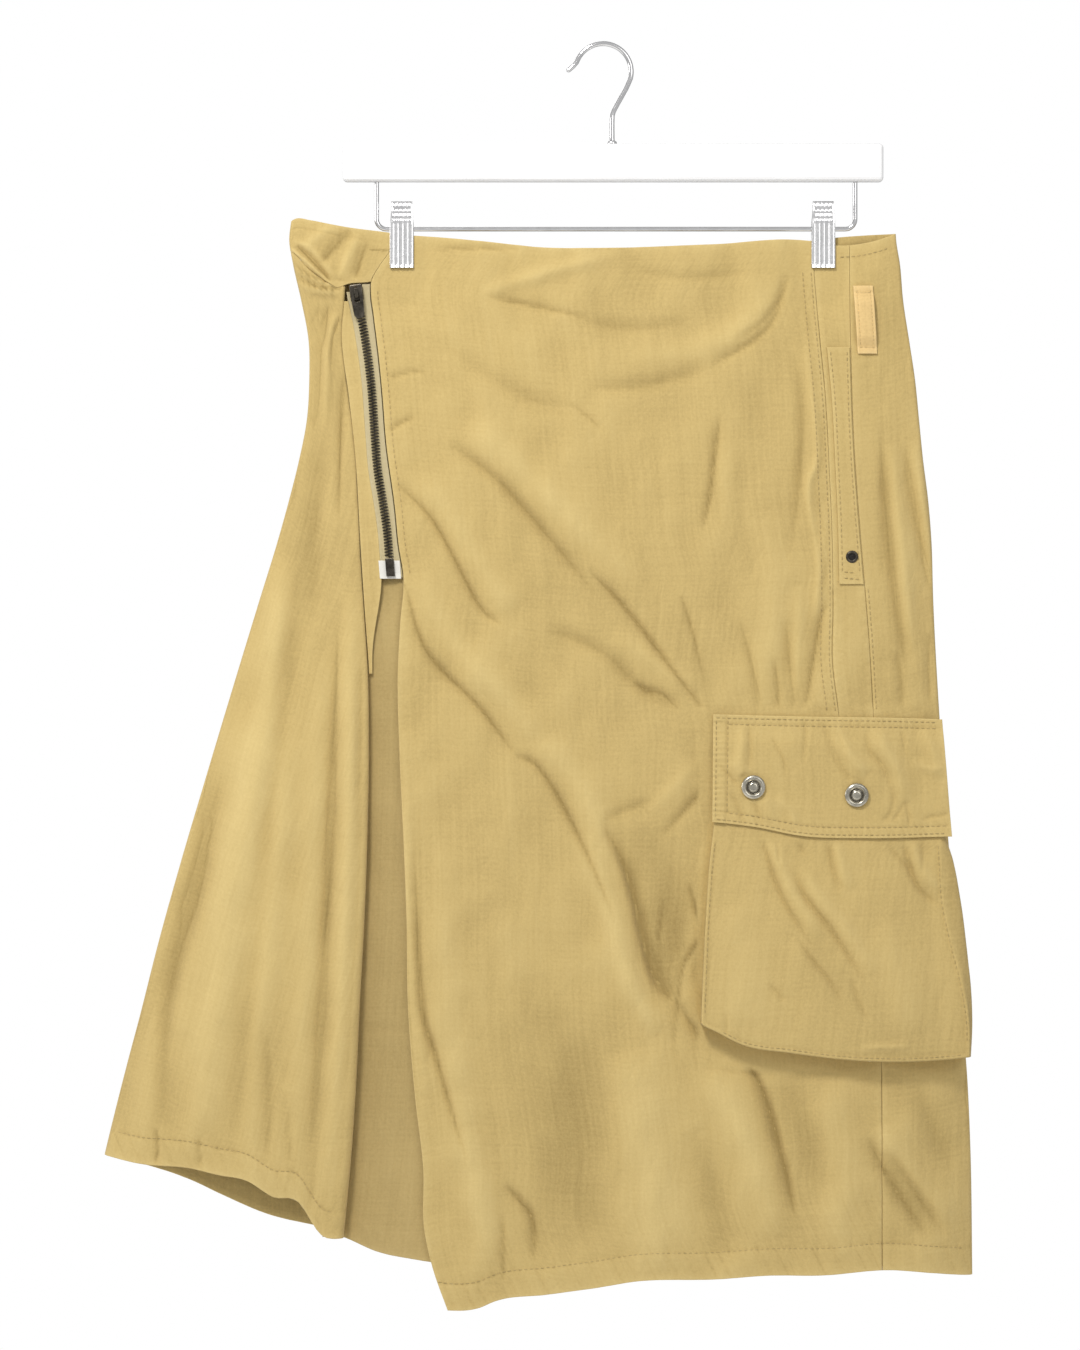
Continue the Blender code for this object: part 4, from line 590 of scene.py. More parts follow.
def back_relief(x, drop):
    """The hidden back: a middle seam, folds like the front's, waist puckers and its hem."""
    folds = fold_height(x, drop, BACK_FOLDS) + 0.55 * crumple(x, drop, 41)
    folds = folds + seam_pucker(x - 4.0, drop, 9.0, 0.4, 42)
    below_top = drop - drop_at(BACK_TOP, x)
    folds = folds - 0.4 * np.exp(-(((below_top - 7.5) / 1.0) ** 2))
    folds = folds + 0.4 * np.exp(-below_top / 14.0) * uneven(x, 19.0, 43)
    folds = folds + hem_relief(x, drop, drop_at(BACK_HEM, x), 44)
    return limit(folds * (1 - pressed(x, drop)), body_depth(x, drop))


def spaced(count, length, thickness=CLOTH):
    """0 to 1 in even steps, with four more places close to each end for a rounded edge."""
    close = np.array([0.0, 0.06, 0.2, 0.5]) * thickness / length
    even = np.linspace(0.6 * thickness / length, 1 - 0.6 * thickness / length, count)
    return np.concatenate([close, even, 1 - close[::-1]])


def body_grid(start, end, top, hem, relief, columns, rows, size):
    """Outer points, inward directions, and the x, drop and relief of a panel.

    start and end give the ring's angle at a drop, top and hem the drop at an x and an angle, and relief
    the height of the folds. A point's drop depends on its x and the other way round, so both are worked
    out in a few passes. size is the panel's rough width and length.
    """
    along = spaced(columns, size[0])[None, :]
    down = spaced(rows, size[1])[:, None]
    drop = 120.0 + 680.0 * down + 0.0 * along
    for _ in range(12):
        angle = start(drop) * (1 - along) + end(drop) * along
        x, y = ring_point(angle, drop)
        drop = top(x, angle) * (1 - down) + hem(x, angle) * down
    inward_x, inward_y = ring_inward(angle, drop)
    height = relief(x, drop, angle)
    y = y - np.sign(np.cos(angle)) * height
    outer = np.stack([x, y, -drop], axis=-1)
    inward = np.stack([inward_x, inward_y, np.zeros_like(drop)], axis=-1)
    return outer, inward, height


def steps_along(points, axis):
    """Length run along a grid's rows or columns, from its first line of points."""
    step = np.linalg.norm(np.diff(points, axis=axis), axis=-1)
    start = np.zeros_like(np.take(step, [0], axis=axis))
    return np.concatenate([start, np.cumsum(step, axis=axis)], axis=axis)


def put(name, points, faces, finish, body=GARMENT, uv=None, wear_shade_mask=None, sharp=None):
    """A finished piece from points in millimetres.

    faces is a list of arrays, one for each number of corners. uv is in metres; the mask gives each point rubbed
    paleness and painted shade.
    """
    mesh = bpy.data.meshes.new(name)
    loops = np.concatenate([group.ravel() for group in faces])
    corners = np.concatenate([np.full(len(group), group.shape[1]) for group in faces])
    mesh.vertices.add(len(points))
    mesh.vertices.foreach_set("co", (np.asarray(points, dtype=np.float64) * MM).astype(np.float32).ravel())
    mesh.loops.add(len(loops))
    mesh.loops.foreach_set("vertex_index", loops.astype(np.int32))
    mesh.polygons.add(len(corners))
    starts = np.concatenate([[0], np.cumsum(corners)[:-1]])
    mesh.polygons.foreach_set("loop_start", starts.astype(np.int32))
    mesh.update(calc_edges=True)
    mesh.validate()
    if uv is not None:
        layer = mesh.uv_layers.new(name="cloth")
        layer.uv.foreach_set("vector", uv[loops].astype(np.float32).ravel())
    if wear_shade_mask is not None:
        mask = mesh.attributes.new("wear_shade_mask", "FLOAT", "POINT")
        mask.data.foreach_set("value", wear_shade_mask.astype(np.float32))
    mesh.shade_smooth()
    if sharp is not None:
        mesh.set_sharp_from_angle(angle=math.radians(sharp))
    mesh.materials.append(finish)
    made = bpy.data.objects.new(name, mesh)
    bpy.context.scene.collection.objects.link(made)
    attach(made, body)
    return made


def coarse_faces(index):
    """Faces over every second line of a grid of point numbers, wound to face inwards.

    A face at the border also takes the border point between its corners, so that the two sides join.
    The number of lines each way is odd.
    """
    a, b, c, d = index[:-2:2, :-2:2], index[:-2:2, 2::2], index[2::2, 2::2], index[2::2, :-2:2]
    inner = (slice(1, -1), slice(1, -1))
    groups = [np.stack([a[inner], b[inner], c[inner], d[inner]], -1).reshape(-1, 4)]
    top, foot, left, right = index[0, 1::2], index[-1, 1::2], index[1::2, 0], index[1::2, -1]
    along, down = slice(1, -1), slice(1, -1)
    groups.append(np.stack([a[0, along], top[along], b[0, along], c[0, along], d[0, along]], -1))
    groups.append(np.stack([a[-1, along], b[-1, along], c[-1, along], foot[along], d[-1, along]], -1))
    groups.append(np.stack([a[down, 0], b[down, 0], c[down, 0], d[down, 0], left[down]], -1))
    groups.append(np.stack([a[down, -1], b[down, -1], right[down], c[down, -1], d[down, -1]], -1))
    groups.append(np.array([
        [a[0, 0], top[0], b[0, 0], c[0, 0], d[0, 0], left[0]],
        [a[0, -1], top[-1], b[0, -1], right[0], c[0, -1], d[0, -1]],
        [a[-1, -1], b[-1, -1], right[-1], c[-1, -1], foot[-1], d[-1, -1]],
        [a[-1, 0], b[-1, 0], c[-1, 0], foot[0], d[-1, 0], left[-1]]]))
    return groups


def odd_grid(*grids):
    """Grids cut to an odd number of rows and columns by leaving out a line near the middle."""
    rows, columns = grids[0].shape[:2]
    if rows % 2 == 0:
        grids = [np.delete(grid, rows // 2, axis=0) for grid in grids]
    if columns % 2 == 0:
        grids = [np.delete(grid, columns // 2, axis=1) for grid in grids]
    return grids


def shell(name, outer, inward, finish, thickness=CLOTH, wear_shade_mask=None, uv_start=(0.0, 0.0)):
    """A closed sheet of cloth whose border is rounded.

    The middle surface lies half a thickness inside the outer points. Both faces stand off it by half the
    thickness times a quarter circle of the distance from the border, and share the border's own points.
    """
    thickness = thickness + np.zeros(outer.shape[:2])
    wear_shade_mask = np.zeros(outer.shape[:2]) if wear_shade_mask is None else wear_shade_mask
    outer, inward, thickness, wear_shade_mask = odd_grid(outer, inward, thickness, wear_shade_mask)
    rows, columns = outer.shape[:2]
    over, down = steps_along(outer, 1), steps_along(outer, 0)
    half = thickness / 2
    from_edge = np.minimum(np.minimum(over, over[:, -1:] - over), np.minimum(down, down[-1:] - down))
    near = np.clip(from_edge / np.minimum(half, CLOTH / 2), 0.0, 1.0)
    stand = (half * np.sqrt(1 - (1 - near) ** 2))[..., None]
    middle = outer + inward * half[..., None]
    outside, inside = middle - inward * stand, middle + inward * stand
    points = np.concatenate([outside.reshape(-1, 3), inside.reshape(-1, 3)])
    count = rows * columns
    index = np.arange(count).reshape(rows, columns)
    behind = index + count
    behind[0], behind[-1] = index[0], index[-1]
    behind[:, 0], behind[:, -1] = index[:, 0], index[:, -1]
    outside = np.stack([index[:-1, :-1], index[1:, :-1], index[1:, 1:], index[:-1, 1:]], -1).reshape(-1, 4)
    faces = [outside] + coarse_faces(behind)
    used, renamed = np.unique(np.concatenate([group.ravel() for group in faces]), return_inverse=True)
    ends = np.cumsum([group.size for group in faces])[:-1]
    faces = [part.reshape(group.shape) for part, group in zip(np.split(renamed.ravel(), ends), faces)]
    uv = np.stack([over * MM + uv_start[0], -down * MM + uv_start[1]], -1).reshape(-1, 2)
    uv = np.concatenate([uv, uv])[used]
    mask = np.concatenate([wear_shade_mask.reshape(-1), 0.3 * wear_shade_mask.reshape(-1)])[used]
    return put(name, points[used], faces, finish, uv=uv, wear_shade_mask=mask)


def wear_and_shade_of(height, border):
    """Paler on ridges and close to edges and seams, where the cloth is rubbed; darker in troughs, as painted
    shade. border is a distance in mm.
    """
    return np.clip(0.45 + 0.14 * height, -0.2, 1.0) * 0.8 + 0.4 * np.exp(-border / 2.5)


def border_distance(outer):
    """Distance of each grid point from the nearest border."""
    over, down = steps_along(outer, 1), steps_along(outer, 0)
    return np.minimum(np.minimum(over, over[:, -1:] - over), np.minimum(down, down[-1:] - down))


def painted_crease_shade(height, outer):
    """0 to 1 where the height turns up sharply, along and across, by the change of its slope for each mm; it
    darkens narrow creases as painted shade.
    """
    turns = []
    for axis in (0, 1):
        place = steps_along(outer, axis)
        slope = np.diff(height, axis=axis) / np.maximum(np.diff(place, axis=axis), 0.05)
        pace = np.delete(np.maximum(np.diff(place, axis=axis), 0.05), -1, axis=axis)
        turn = np.diff(slope, axis=axis) / pace
        rim = [(0, 0), (0, 0)]
        rim[axis] = (1, 1)
        turns.append(np.pad(turn, rim))
    return np.clip(np.maximum(turns[0], turns[1]), 0.0, 1.0)


def hem_thickness(drop, hem):
    """The cloth is doubled below a hem's stitches."""
    return CLOTH + (HEM_THICK - CLOTH) * ease((HEM_DEEP + 0.6 - (hem - drop)) / 1.2)


class Nodes:
    """A short hand for adding and joining shader nodes in one tree."""

    def __init__(self, tree):
        self.tree = tree

    def add(self, kind, inputs=(), **settings):
        made = self.tree.nodes.new(kind)
        for name, value in settings.items():
            setattr(made, name, value)
        for name, value in dict(inputs).items():
            if isinstance(value, bpy.types.NodeSocket):
                self.tree.links.new(value, made.inputs[name])
            else:
                made.inputs[name].default_value = value
        return made

    def maths(self, operation, first, second=0.0, clamp=False):
        made = self.add("ShaderNodeMath", {0: first, 1: second}, operation=operation)
        made.use_clamp = clamp
        return made.outputs[0]

    def blend(self, factor, first, second, kind="MIX"):
        made = self.add("ShaderNodeMix", {"Factor": factor}, data_type="RGBA", blend_type=kind)
        for place, value in ((6, first), (7, second)):
            if isinstance(value, bpy.types.NodeSocket):
                self.tree.links.new(value, made.inputs[place])
            else:
                made.inputs[place].default_value = value
        return made.outputs[2]

    def spread(self, value, low, high, new_low=0.0, new_high=1.0):
        made = self.add("ShaderNodeMapRange", {
            "Value": value, "From Min": low, "From Max": high, "To Min": new_low, "To Max": new_high})
        return made.outputs[0]

    def noise(self, vector, scale, detail=3.0, roughness=0.55):
        made = self.add("ShaderNodeTexNoise", {
            "Vector": vector, "Scale": scale, "Detail": detail, "Roughness": roughness})
        return made.outputs["Fac"]


def new_group(name, inputs, outputs):
    """An empty shader node group with named sockets. Each entry is (name, socket kind, default)."""
    group = bpy.data.node_groups.new(name, "ShaderNodeTree")
    for label, kind, default in inputs:
        socket = group.interface.new_socket(label, in_out="INPUT", socket_type=kind)
        if default is not None:
            socket.default_value = default
    for label, kind in outputs:
        group.interface.new_socket(label, in_out="OUTPUT", socket_type=kind)
    made = Nodes(group)
    return group, made, made.add("NodeGroupInput").outputs, made.add("NodeGroupOutput")


FLOAT, COLOUR, VECTOR = "NodeSocketFloat", "NodeSocketColor", "NodeSocketVector"


def make_plain_weave():
    """Over and under threads: two sets of ridges a thread apart, each lifted where the other dips."""
    group, n, given, out = new_group(
        "plain_weave", [("Vector", VECTOR, None), ("Threads", FLOAT, 1400.0)], [("Height", FLOAT)])
    split = n.add("ShaderNodeSeparateXYZ", {0: given["Vector"]}).outputs
    warp = n.maths("SINE", n.maths("MULTIPLY", split[0], n.maths("MULTIPLY", given["Threads"], 2 * math.pi)))
    weft = n.maths("SINE", n.maths("MULTIPLY", split[1], n.maths("MULTIPLY", given["Threads"], 2 * math.pi)))
    checks = n.maths("MULTIPLY", warp, weft)
    slub = n.noise(given["Vector"], 900.0, 2.0)
    n.tree.links.new(n.maths("ADD", n.maths("MULTIPLY", checks, 0.5), slub), out.inputs["Height"])
    return group


def make_washed_dye_and_shade():
    """Colour of garment-dyed cotton after washing: cloudy tone, faint streaks down the threads, pale rubbed
    edges, and painted shade where the mask is low.
    """
    group, n, given, out = new_group(
        "washed_dye_and_shade",
        [("Vector", VECTOR, None), ("Place", VECTOR, None), ("Base", COLOUR, (0.5, 0.4, 0.2, 1)),
         ("Faded", COLOUR, (0.7, 0.6, 0.35, 1)), ("Deep", COLOUR, (0.35, 0.27, 0.12, 1)),
         ("Wear and shade", FLOAT, 0.4)],
        [("Colour", COLOUR), ("Clouds", FLOAT)])
    clouds = n.noise(given["Place"], 7.0, 4.0)
    stretch = n.add("ShaderNodeVectorMath", {0: given["Vector"], 1: (420.0, 9.0, 1.0)}, operation="MULTIPLY")
    streaks = n.noise(stretch.outputs[0], 1.0, 3.0, 0.6)
    cross = n.add("ShaderNodeVectorMath", {0: given["Vector"], 1: (14.0, 520.0, 1.0)}, operation="MULTIPLY")
    bars = n.noise(cross.outputs[0], 1.0, 2.0, 0.6)
    flecks = n.noise(given["Vector"], 520.0, 3.0, 0.7)
    lift = n.maths("MULTIPLY", n.spread(streaks, 0.3, 0.7, -1.0, 1.0), 0.10)
    lift = n.maths("ADD", lift, n.maths("MULTIPLY", n.spread(bars, 0.3, 0.7, -1.0, 1.0), 0.06))
    lift = n.maths("ADD", lift, n.maths("MULTIPLY", n.spread(clouds, 0.3, 0.7, -1.0, 1.0), 0.14))
    lift = n.maths("ADD", lift, n.maths("MULTIPLY", n.spread(flecks, 0.3, 0.7, -1.0, 1.0), 0.15))
    # The mask pales rubbed edges and ridges, and darkens troughs and creases as painted shade.
    tone = n.maths("ADD", lift, n.maths("SUBTRACT", given["Wear and shade"], 0.38))
    pale = n.blend(n.maths("MULTIPLY", n.maths("MAXIMUM", tone, 0.0), 1.1, True), given["Base"], given["Faded"])
    dark = n.maths("MULTIPLY", n.maths("MAXIMUM", n.maths("MULTIPLY", tone, -1.0), 0.0), 1.3, True)
    n.tree.links.new(n.blend(dark, pale, given["Deep"]), out.inputs["Colour"])
    n.tree.links.new(clouds, out.inputs["Clouds"])
    return group


def make_fine_creases():
    """Small set-in creases of washed cotton: stretched, bent noise with sharp valleys."""
    group, n, given, out = new_group(
        "fine_creases", [("Place", VECTOR, None), ("Amount", FLOAT, 1.0)], [("Height", FLOAT)])
    bend = n.add("ShaderNodeTexNoise", {"Vector": given["Place"], "Scale": 16.0, "Detail": 2.0})
    bend_by = (0.03, 0.03, 0.03)
    shift = n.add("ShaderNodeVectorMath", {0: bend.outputs["Color"], 1: bend_by}, operation="MULTIPLY")
    moved = n.add("ShaderNodeVectorMath", {0: given["Place"], 1: shift.outputs[0]}, operation="ADD")
    squeezed = n.add("ShaderNodeVectorMath", {0: moved.outputs[0], 1: (1.6, 1.0, 0.7)}, operation="MULTIPLY")
    large = n.noise(squeezed.outputs[0], 34.0, 2.0, 0.5)
    ridge = n.maths("ABSOLUTE", n.maths("SUBTRACT", large, 0.5))
    small = n.noise(squeezed.outputs[0], 120.0, 3.0, 0.5)
    both = n.maths("ADD", n.maths("MULTIPLY", ridge, 1.6), n.maths("MULTIPLY", small, 0.35))
    n.tree.links.new(n.maths("MULTIPLY", both, given["Amount"]), out.inputs["Height"])
    return group


def make_groups():
    return {"weave": make_plain_weave(), "dye_and_shade": make_washed_dye_and_shade(), "creases": make_fine_creases()}


def cloth_finish(name, groups, base, faded, deep, threads=1400.0, creases=1.0, roughness=0.86):
    """Woven cotton: washed colour with painted shade read from a mask on its points, a weave and set-in creases
    as bump, and a faint sheen.
    """
    made = bpy.data.materials.new(name)
    made.use_nodes = True
    n = Nodes(made.node_tree)
    shader = made.node_tree.nodes["Principled BSDF"]
    uv = n.add("ShaderNodeUVMap", uv_map="cloth").outputs[0]
    place = n.add("ShaderNodeTexCoord").outputs["Object"]
    # Each point's mask of rubbed paleness and painted shade.
    wear_shade_mask = n.add("ShaderNodeAttribute", attribute_name="wear_shade_mask").outputs["Fac"]
    dye_and_shade = n.add("ShaderNodeGroup", node_tree=groups["dye_and_shade"])
    n.tree.links.new(uv, dye_and_shade.inputs["Vector"])
    n.tree.links.new(place, dye_and_shade.inputs["Place"])
    n.tree.links.new(wear_shade_mask, dye_and_shade.inputs["Wear and shade"])
    for label, colour in (("Base", base), ("Faded", faded), ("Deep", deep)):
        dye_and_shade.inputs[label].default_value = (*colour, 1.0)
    weave = n.add("ShaderNodeGroup", node_tree=groups["weave"])
    n.tree.links.new(uv, weave.inputs["Vector"])
    weave.inputs["Threads"].default_value = threads
    fine = n.add("ShaderNodeGroup", node_tree=groups["creases"])
    n.tree.links.new(place, fine.inputs["Place"])
    fine.inputs["Amount"].default_value = creases
    wrinkle = n.add("ShaderNodeBump", {"Height": fine.outputs[0], "Distance": 0.0022, "Strength": 0.55})
    threads_bump = n.add("ShaderNodeBump", {
        "Height": weave.outputs[0], "Distance": 0.00016, "Strength": 0.5, "Normal": wrinkle.outputs[0]})
    rough = n.spread(dye_and_shade.outputs["Clouds"], 0.2, 0.8, roughness - 0.06, roughness + 0.06)
    n.tree.links.new(dye_and_shade.outputs["Colour"], shader.inputs["Base Color"])
    n.tree.links.new(rough, shader.inputs["Roughness"])
    n.tree.links.new(threads_bump.outputs[0], shader.inputs["Normal"])
    shader.inputs["Sheen Weight"].default_value = 0.12
    shader.inputs["Sheen Roughness"].default_value = 0.5
    shader.inputs["Specular IOR Level"].default_value = 0.25
    return made


def plain_finish(name, colour, roughness, metallic=0.0, grain=300.0, strength=0.12, vary=0.15, coat=0.0):
    """Metal, paint or thread: its colour and roughness vary a little, with fine marks as bump."""
    made = bpy.data.materials.new(name)
    made.use_nodes = True
    n = Nodes(made.node_tree)
    shader = made.node_tree.nodes["Principled BSDF"]
    place = n.add("ShaderNodeTexCoord").outputs["Object"]
    clouds = n.noise(place, grain * 0.25, 3.0)
    marks = n.noise(place, grain, 4.0, 0.65)
    low = tuple(value * (1 - vary) for value in colour)
    high = tuple(min(1.0, value * (1 + vary)) for value in colour)
    tone = n.blend(n.spread(clouds, 0.3, 0.7), (*low, 1.0), (*high, 1.0))
    n.tree.links.new(tone, shader.inputs["Base Color"])
    n.tree.links.new(n.spread(marks, 0.3, 0.7, roughness * 0.8, roughness * 1.25), shader.inputs["Roughness"])
    bump = n.add("ShaderNodeBump", {"Height": marks, "Distance": 0.0001, "Strength": strength})
    n.tree.links.new(bump.outputs[0], shader.inputs["Normal"])
    shader.inputs["Metallic"].default_value = metallic
    shader.inputs["Coat Weight"].default_value = coat
    return made


def painted_rim_reflection(made):
    """Painted reflection on chrome: the colour falls towards dark grey where the face turns away, as if its
    rims mirrored a dim room.
    """
    n = Nodes(made.node_tree)
    shader = made.node_tree.nodes["Principled BSDF"]
    tone = shader.inputs["Base Color"].links[0].from_socket
    turned_away = n.add("ShaderNodeLayerWeight", {"Blend": 0.45}).outputs["Facing"]
    rim = n.blend(n.spread(turned_away, 0.25, 0.75), tone, (0.10, 0.10, 0.11, 1.0))
    n.tree.links.new(rim, shader.inputs["Base Color"])
    return made


def make_finishes():
    """Every finish on the skirt and its hanger."""
    groups = make_groups()
    khaki = dict(base=(0.56, 0.413, 0.162), faded=(0.70, 0.545, 0.24), deep=(0.35, 0.248, 0.087))
    return {
        "cotton": cloth_finish("khaki_cotton", groups, **khaki),
        # A darker copy of the cotton: painted shade for the cloth deep in the pleat.
        "shaded": cloth_finish("khaki_cotton_painted_shade", groups, (0.47, 0.345, 0.14), (0.60, 0.46, 0.21),
                               (0.33, 0.235, 0.085)),
        "loop": cloth_finish("khaki_loop_cotton", groups, (0.72, 0.51, 0.225), (0.82, 0.63, 0.32),
                             (0.44, 0.30, 0.12), creases=0.4),
        "tape": cloth_finish("zip_tape_twill", groups, (0.50, 0.42, 0.24), (0.62, 0.54, 0.34),
                             (0.33, 0.26, 0.13), threads=900.0, creases=0.2),
        "film": plain_finish("sealed_tape_end", (0.80, 0.78, 0.72), 0.3, 0.0, 220.0, 0.2, 0.1, 0.4),
        "thread": plain_finish("khaki_thread", (0.44, 0.33, 0.14), 0.7, 0.0, 900.0, 0.4, 0.25),
        "pale_thread": plain_finish("pale_thread", (0.62, 0.47, 0.22), 0.7, 0.0, 900.0, 0.4, 0.2),
        "brass": plain_finish("blackened_brass", (0.085, 0.075, 0.06), 0.3, 1.0, 700.0, 0.3, 0.45),
        "snap": plain_finish("aged_nickel", (0.50, 0.47, 0.39), 0.27, 1.0, 600.0, 0.25, 0.3),
        "steel": painted_rim_reflection(plain_finish("chromed_steel", (0.82, 0.82, 0.83), 0.12, 1.0, 400.0, 0.05, 0.06)),
        "clip": painted_rim_reflection(plain_finish("satin_chrome", (0.90, 0.90, 0.91), 0.24, 1.0, 500.0, 0.08, 0.05)),
        "paint": plain_finish("white_lacquer", (0.86, 0.86, 0.87), 0.3, 0.0, 60.0, 0.06, 0.03, 0.3),
        # Painted shade for the eyelet's opening.
        "hole": plain_finish("painted_hole_shade", (0.012, 0.010, 0.008), 0.9),
    }


FINISH = make_finishes()


def cloth_piece(made, node):
    """Let a piece stand for its solid, which is hidden."""
    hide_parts(node)
    return made


def front_right(drop):
    """Right edge of the front panel: the first seam, and under the pocket it goes over to the side seam."""
    first, side = across(FIRST_SEAM, drop), across(SIDE_SEAM, drop)
    return np.minimum(first + (side - first) * ease((drop - 636.0) / 12.0), side)


def make_front():
    outer, inward, height = body_grid(
        lambda drop: angle_at(across(FRONT_LEFT_EDGE, drop) + SEAM, drop),
        lambda drop: angle_at(front_right(drop) - SEAM, drop),
        lambda x, angle: drop_at(FRONT_TOP, x),
        lambda x, angle: drop_at(FRONT_HEM, x),
        lambda x, drop, angle: front_relief(x, drop), 196, 372, (280.0, 670.0))
    thick = hem_thickness(-outer[..., 2], drop_at(FRONT_HEM, outer[..., 0]))
    # Painted shade: troughs and sharp creases are darkened through the mask.
    wear_and_shade = wear_and_shade_of(height, border_distance(outer)) - 0.6 * painted_crease_shade(height, outer)
    made = shell("front_cloth", outer, inward, FINISH["cotton"], thick, wear_and_shade)
    return cloth_piece(made, "front_panel")


def make_front_side():
    outer, inward, height = body_grid(
        lambda drop: angle_at(across(FIRST_SEAM, drop) + SEAM, drop),
        lambda drop: angle_at(across(SIDE_SEAM, drop) - SEAM, drop),
        lambda x, angle: drop_at(FRONT_TOP, x),
        lambda x, angle: 634.0 + 0.0 * x,
        lambda x, drop, angle: front_relief(x, drop), 18, 300, (22.0, 500.0))
    # Painted shade: troughs and sharp creases are darkened through the mask.
    wear_and_shade = wear_and_shade_of(height, border_distance(outer)) - 0.6 * painted_crease_shade(height, outer)
    made = shell("front_side_cloth", outer, inward, FINISH["cotton"], CLOTH, wear_and_shade, (0.4, 0.0))
    return cloth_piece(made, "front_side_panel")


def make_back():
    outer, inward, height = body_grid(
        lambda drop: angle_at(across(SIDE_SEAM, drop) + SEAM, drop),
        lambda drop: 3 * QUARTER - BACK_WRAP + 0.0 * drop,
        lambda x, angle: np.where(angle < QUARTER, drop_at(FRONT_TOP, x), drop_at(BACK_TOP, x)),
        lambda x, angle: np.where(angle < QUARTER, drop_at(FRONT_HEM, x), drop_at(BACK_HEM, x)),
        lambda x, drop, angle: np.where(angle < QUARTER, front_relief(x, drop), back_relief(x, drop)),
        196, 270, (500.0, 650.0))
    hem = drop_at(BACK_HEM, outer[..., 0])
    thick = hem_thickness(-outer[..., 2], hem)
    # Painted shade: troughs and sharp creases are darkened through the mask.
    wear_and_shade = wear_and_shade_of(height, border_distance(outer)) - 0.6 * painted_crease_shade(height, outer)
    made = shell("back_cloth", outer, inward, FINISH["cotton"], thick, wear_and_shade, (0.9, 0.0))
    return cloth_piece(made, "back_panel")


def left_start(drop):
    """Angle on the back where the left pieces begin."""
    return -QUARTER - BACK_WRAP + BACK_SEAM + 0.0 * drop


def roll_start(drop):
    """Where the left panel's flat part ends and its roll begins."""
    return across(LEFT_ROLL_EDGE, drop) - across(LEFT_ROLL_EDGE, drop, "roll")


def rolled_edge(outer, inward, height):
    """Carry the left panel on round its roll, half a turn, then a short leg behind it."""
    drop = -outer[:, -1, 2]
    radius = across(LEFT_ROLL_EDGE, drop, "roll")[:, None]
    turn = np.radians(np.linspace(0.0, 180.0, 15)[1:])[None, :]
    last_x, last_y = outer[:, -1:, 0], outer[:, -1:, 1]
    leg = np.array([0.3, 0.7, 0.9, 0.97, 1.0])[None, :] * (0.3 + 0.9 * radius)
    x = np.concatenate([last_x + radius * np.sin(turn), last_x - leg], axis=1)
    y = np.concatenate([last_y + radius * (1 - np.cos(turn)), last_y + 2 * radius + 0.0 * leg], axis=1)
    turns = np.concatenate([turn + 0.0 * radius, np.pi + 0.0 * leg], axis=1)
    direction = np.stack([-np.sin(turns), np.cos(turns), 0.0 * turns], axis=-1)
    more = np.stack([x, y, outer[:, -1:, 2] + 0.0 * x], axis=-1)
    carried = np.concatenate([height, height[:, -1:] + 0.0 * x], axis=1)
    return np.concatenate([outer, more], axis=1), np.concatenate([inward, direction], axis=1), carried


def make_left():
    outer, inward, height = body_grid(
        left_start,
        lambda drop: angle_at(roll_start(drop), drop),
        lambda x, angle: drop_at(YOKE_FOOT, x) + 2 * SEAM,
        lambda x, angle: drop_at(LEFT_HEM, x),
        lambda x, drop, angle: left_relief(x, drop), 96, 320, (110.0, 600.0))
    outer, inward, height = outer[:, :-4], inward[:, :-4], height[:, :-4]
    blend = ease((np.arange(outer.shape[1]) - outer.shape[1] + 7) / 6.0)[None, :, None]
    inward = inward * (1 - blend) + np.array([0.0, 1.0, 0.0]) * blend
    outer, inward, height = rolled_edge(outer, inward, height)
    flat_part = outer.shape[1] - 19
    thick = np.full(outer.shape[:2], CLOTH)
    thick[:, :flat_part] = hem_thickness(-outer[:, :flat_part, 2], drop_at(LEFT_HEM, outer[:, :flat_part, 0]))
    # Painted shade: troughs and sharp creases are darkened through the mask.
    wear_and_shade = wear_and_shade_of(height, border_distance(outer)) - 0.6 * painted_crease_shade(height, outer)
    made = shell("left_cloth", outer, inward, FINISH["cotton"], np.minimum(thick, 1.9), wear_and_shade, (1.7, 0.0))
    return cloth_piece(made, "left_panel")


def make_yoke():
    outer, inward, height = body_grid(
        left_start,
        lambda drop: angle_at(across(FRONT_LEFT_EDGE, drop) - SEAM, drop),
        lambda x, angle: drop_at(YOKE_TOP, x),
        lambda x, angle: drop_at(YOKE_FOOT, x),
        lambda x, drop, angle: yoke_relief(x, drop), 90, 46, (76.0, 34.0))
    # Painted shade: the yoke's folds, without their limit, darken its troughs and creases through the mask.
    free = fold_height(outer[..., 0], -outer[..., 2], YOKE_FOLDS)
    wear_and_shade = wear_and_shade_of(height * 2.0, border_distance(outer)) - 0.7 * painted_crease_shade(free, outer)
    made = shell("waist_yoke_cloth", outer, inward, FINISH["cotton"], CLOTH, wear_and_shade, (2.2, 0.0))
    return cloth_piece(made, "waist_yoke_left")


def front_points(x, drop, depth):
    """Points from their x, drop and depth in front of the hanger's plane."""
    x, drop = x + 0.0 * drop, drop + 0.0 * x
    return np.stack([x, -depth + 0.0 * x, -drop], axis=-1)


def facing_back(points):
    """The direction of the thickness of a piece that faces straight to the front."""
    return np.array([0.0, 1.0, 0.0]) + 0.0 * points


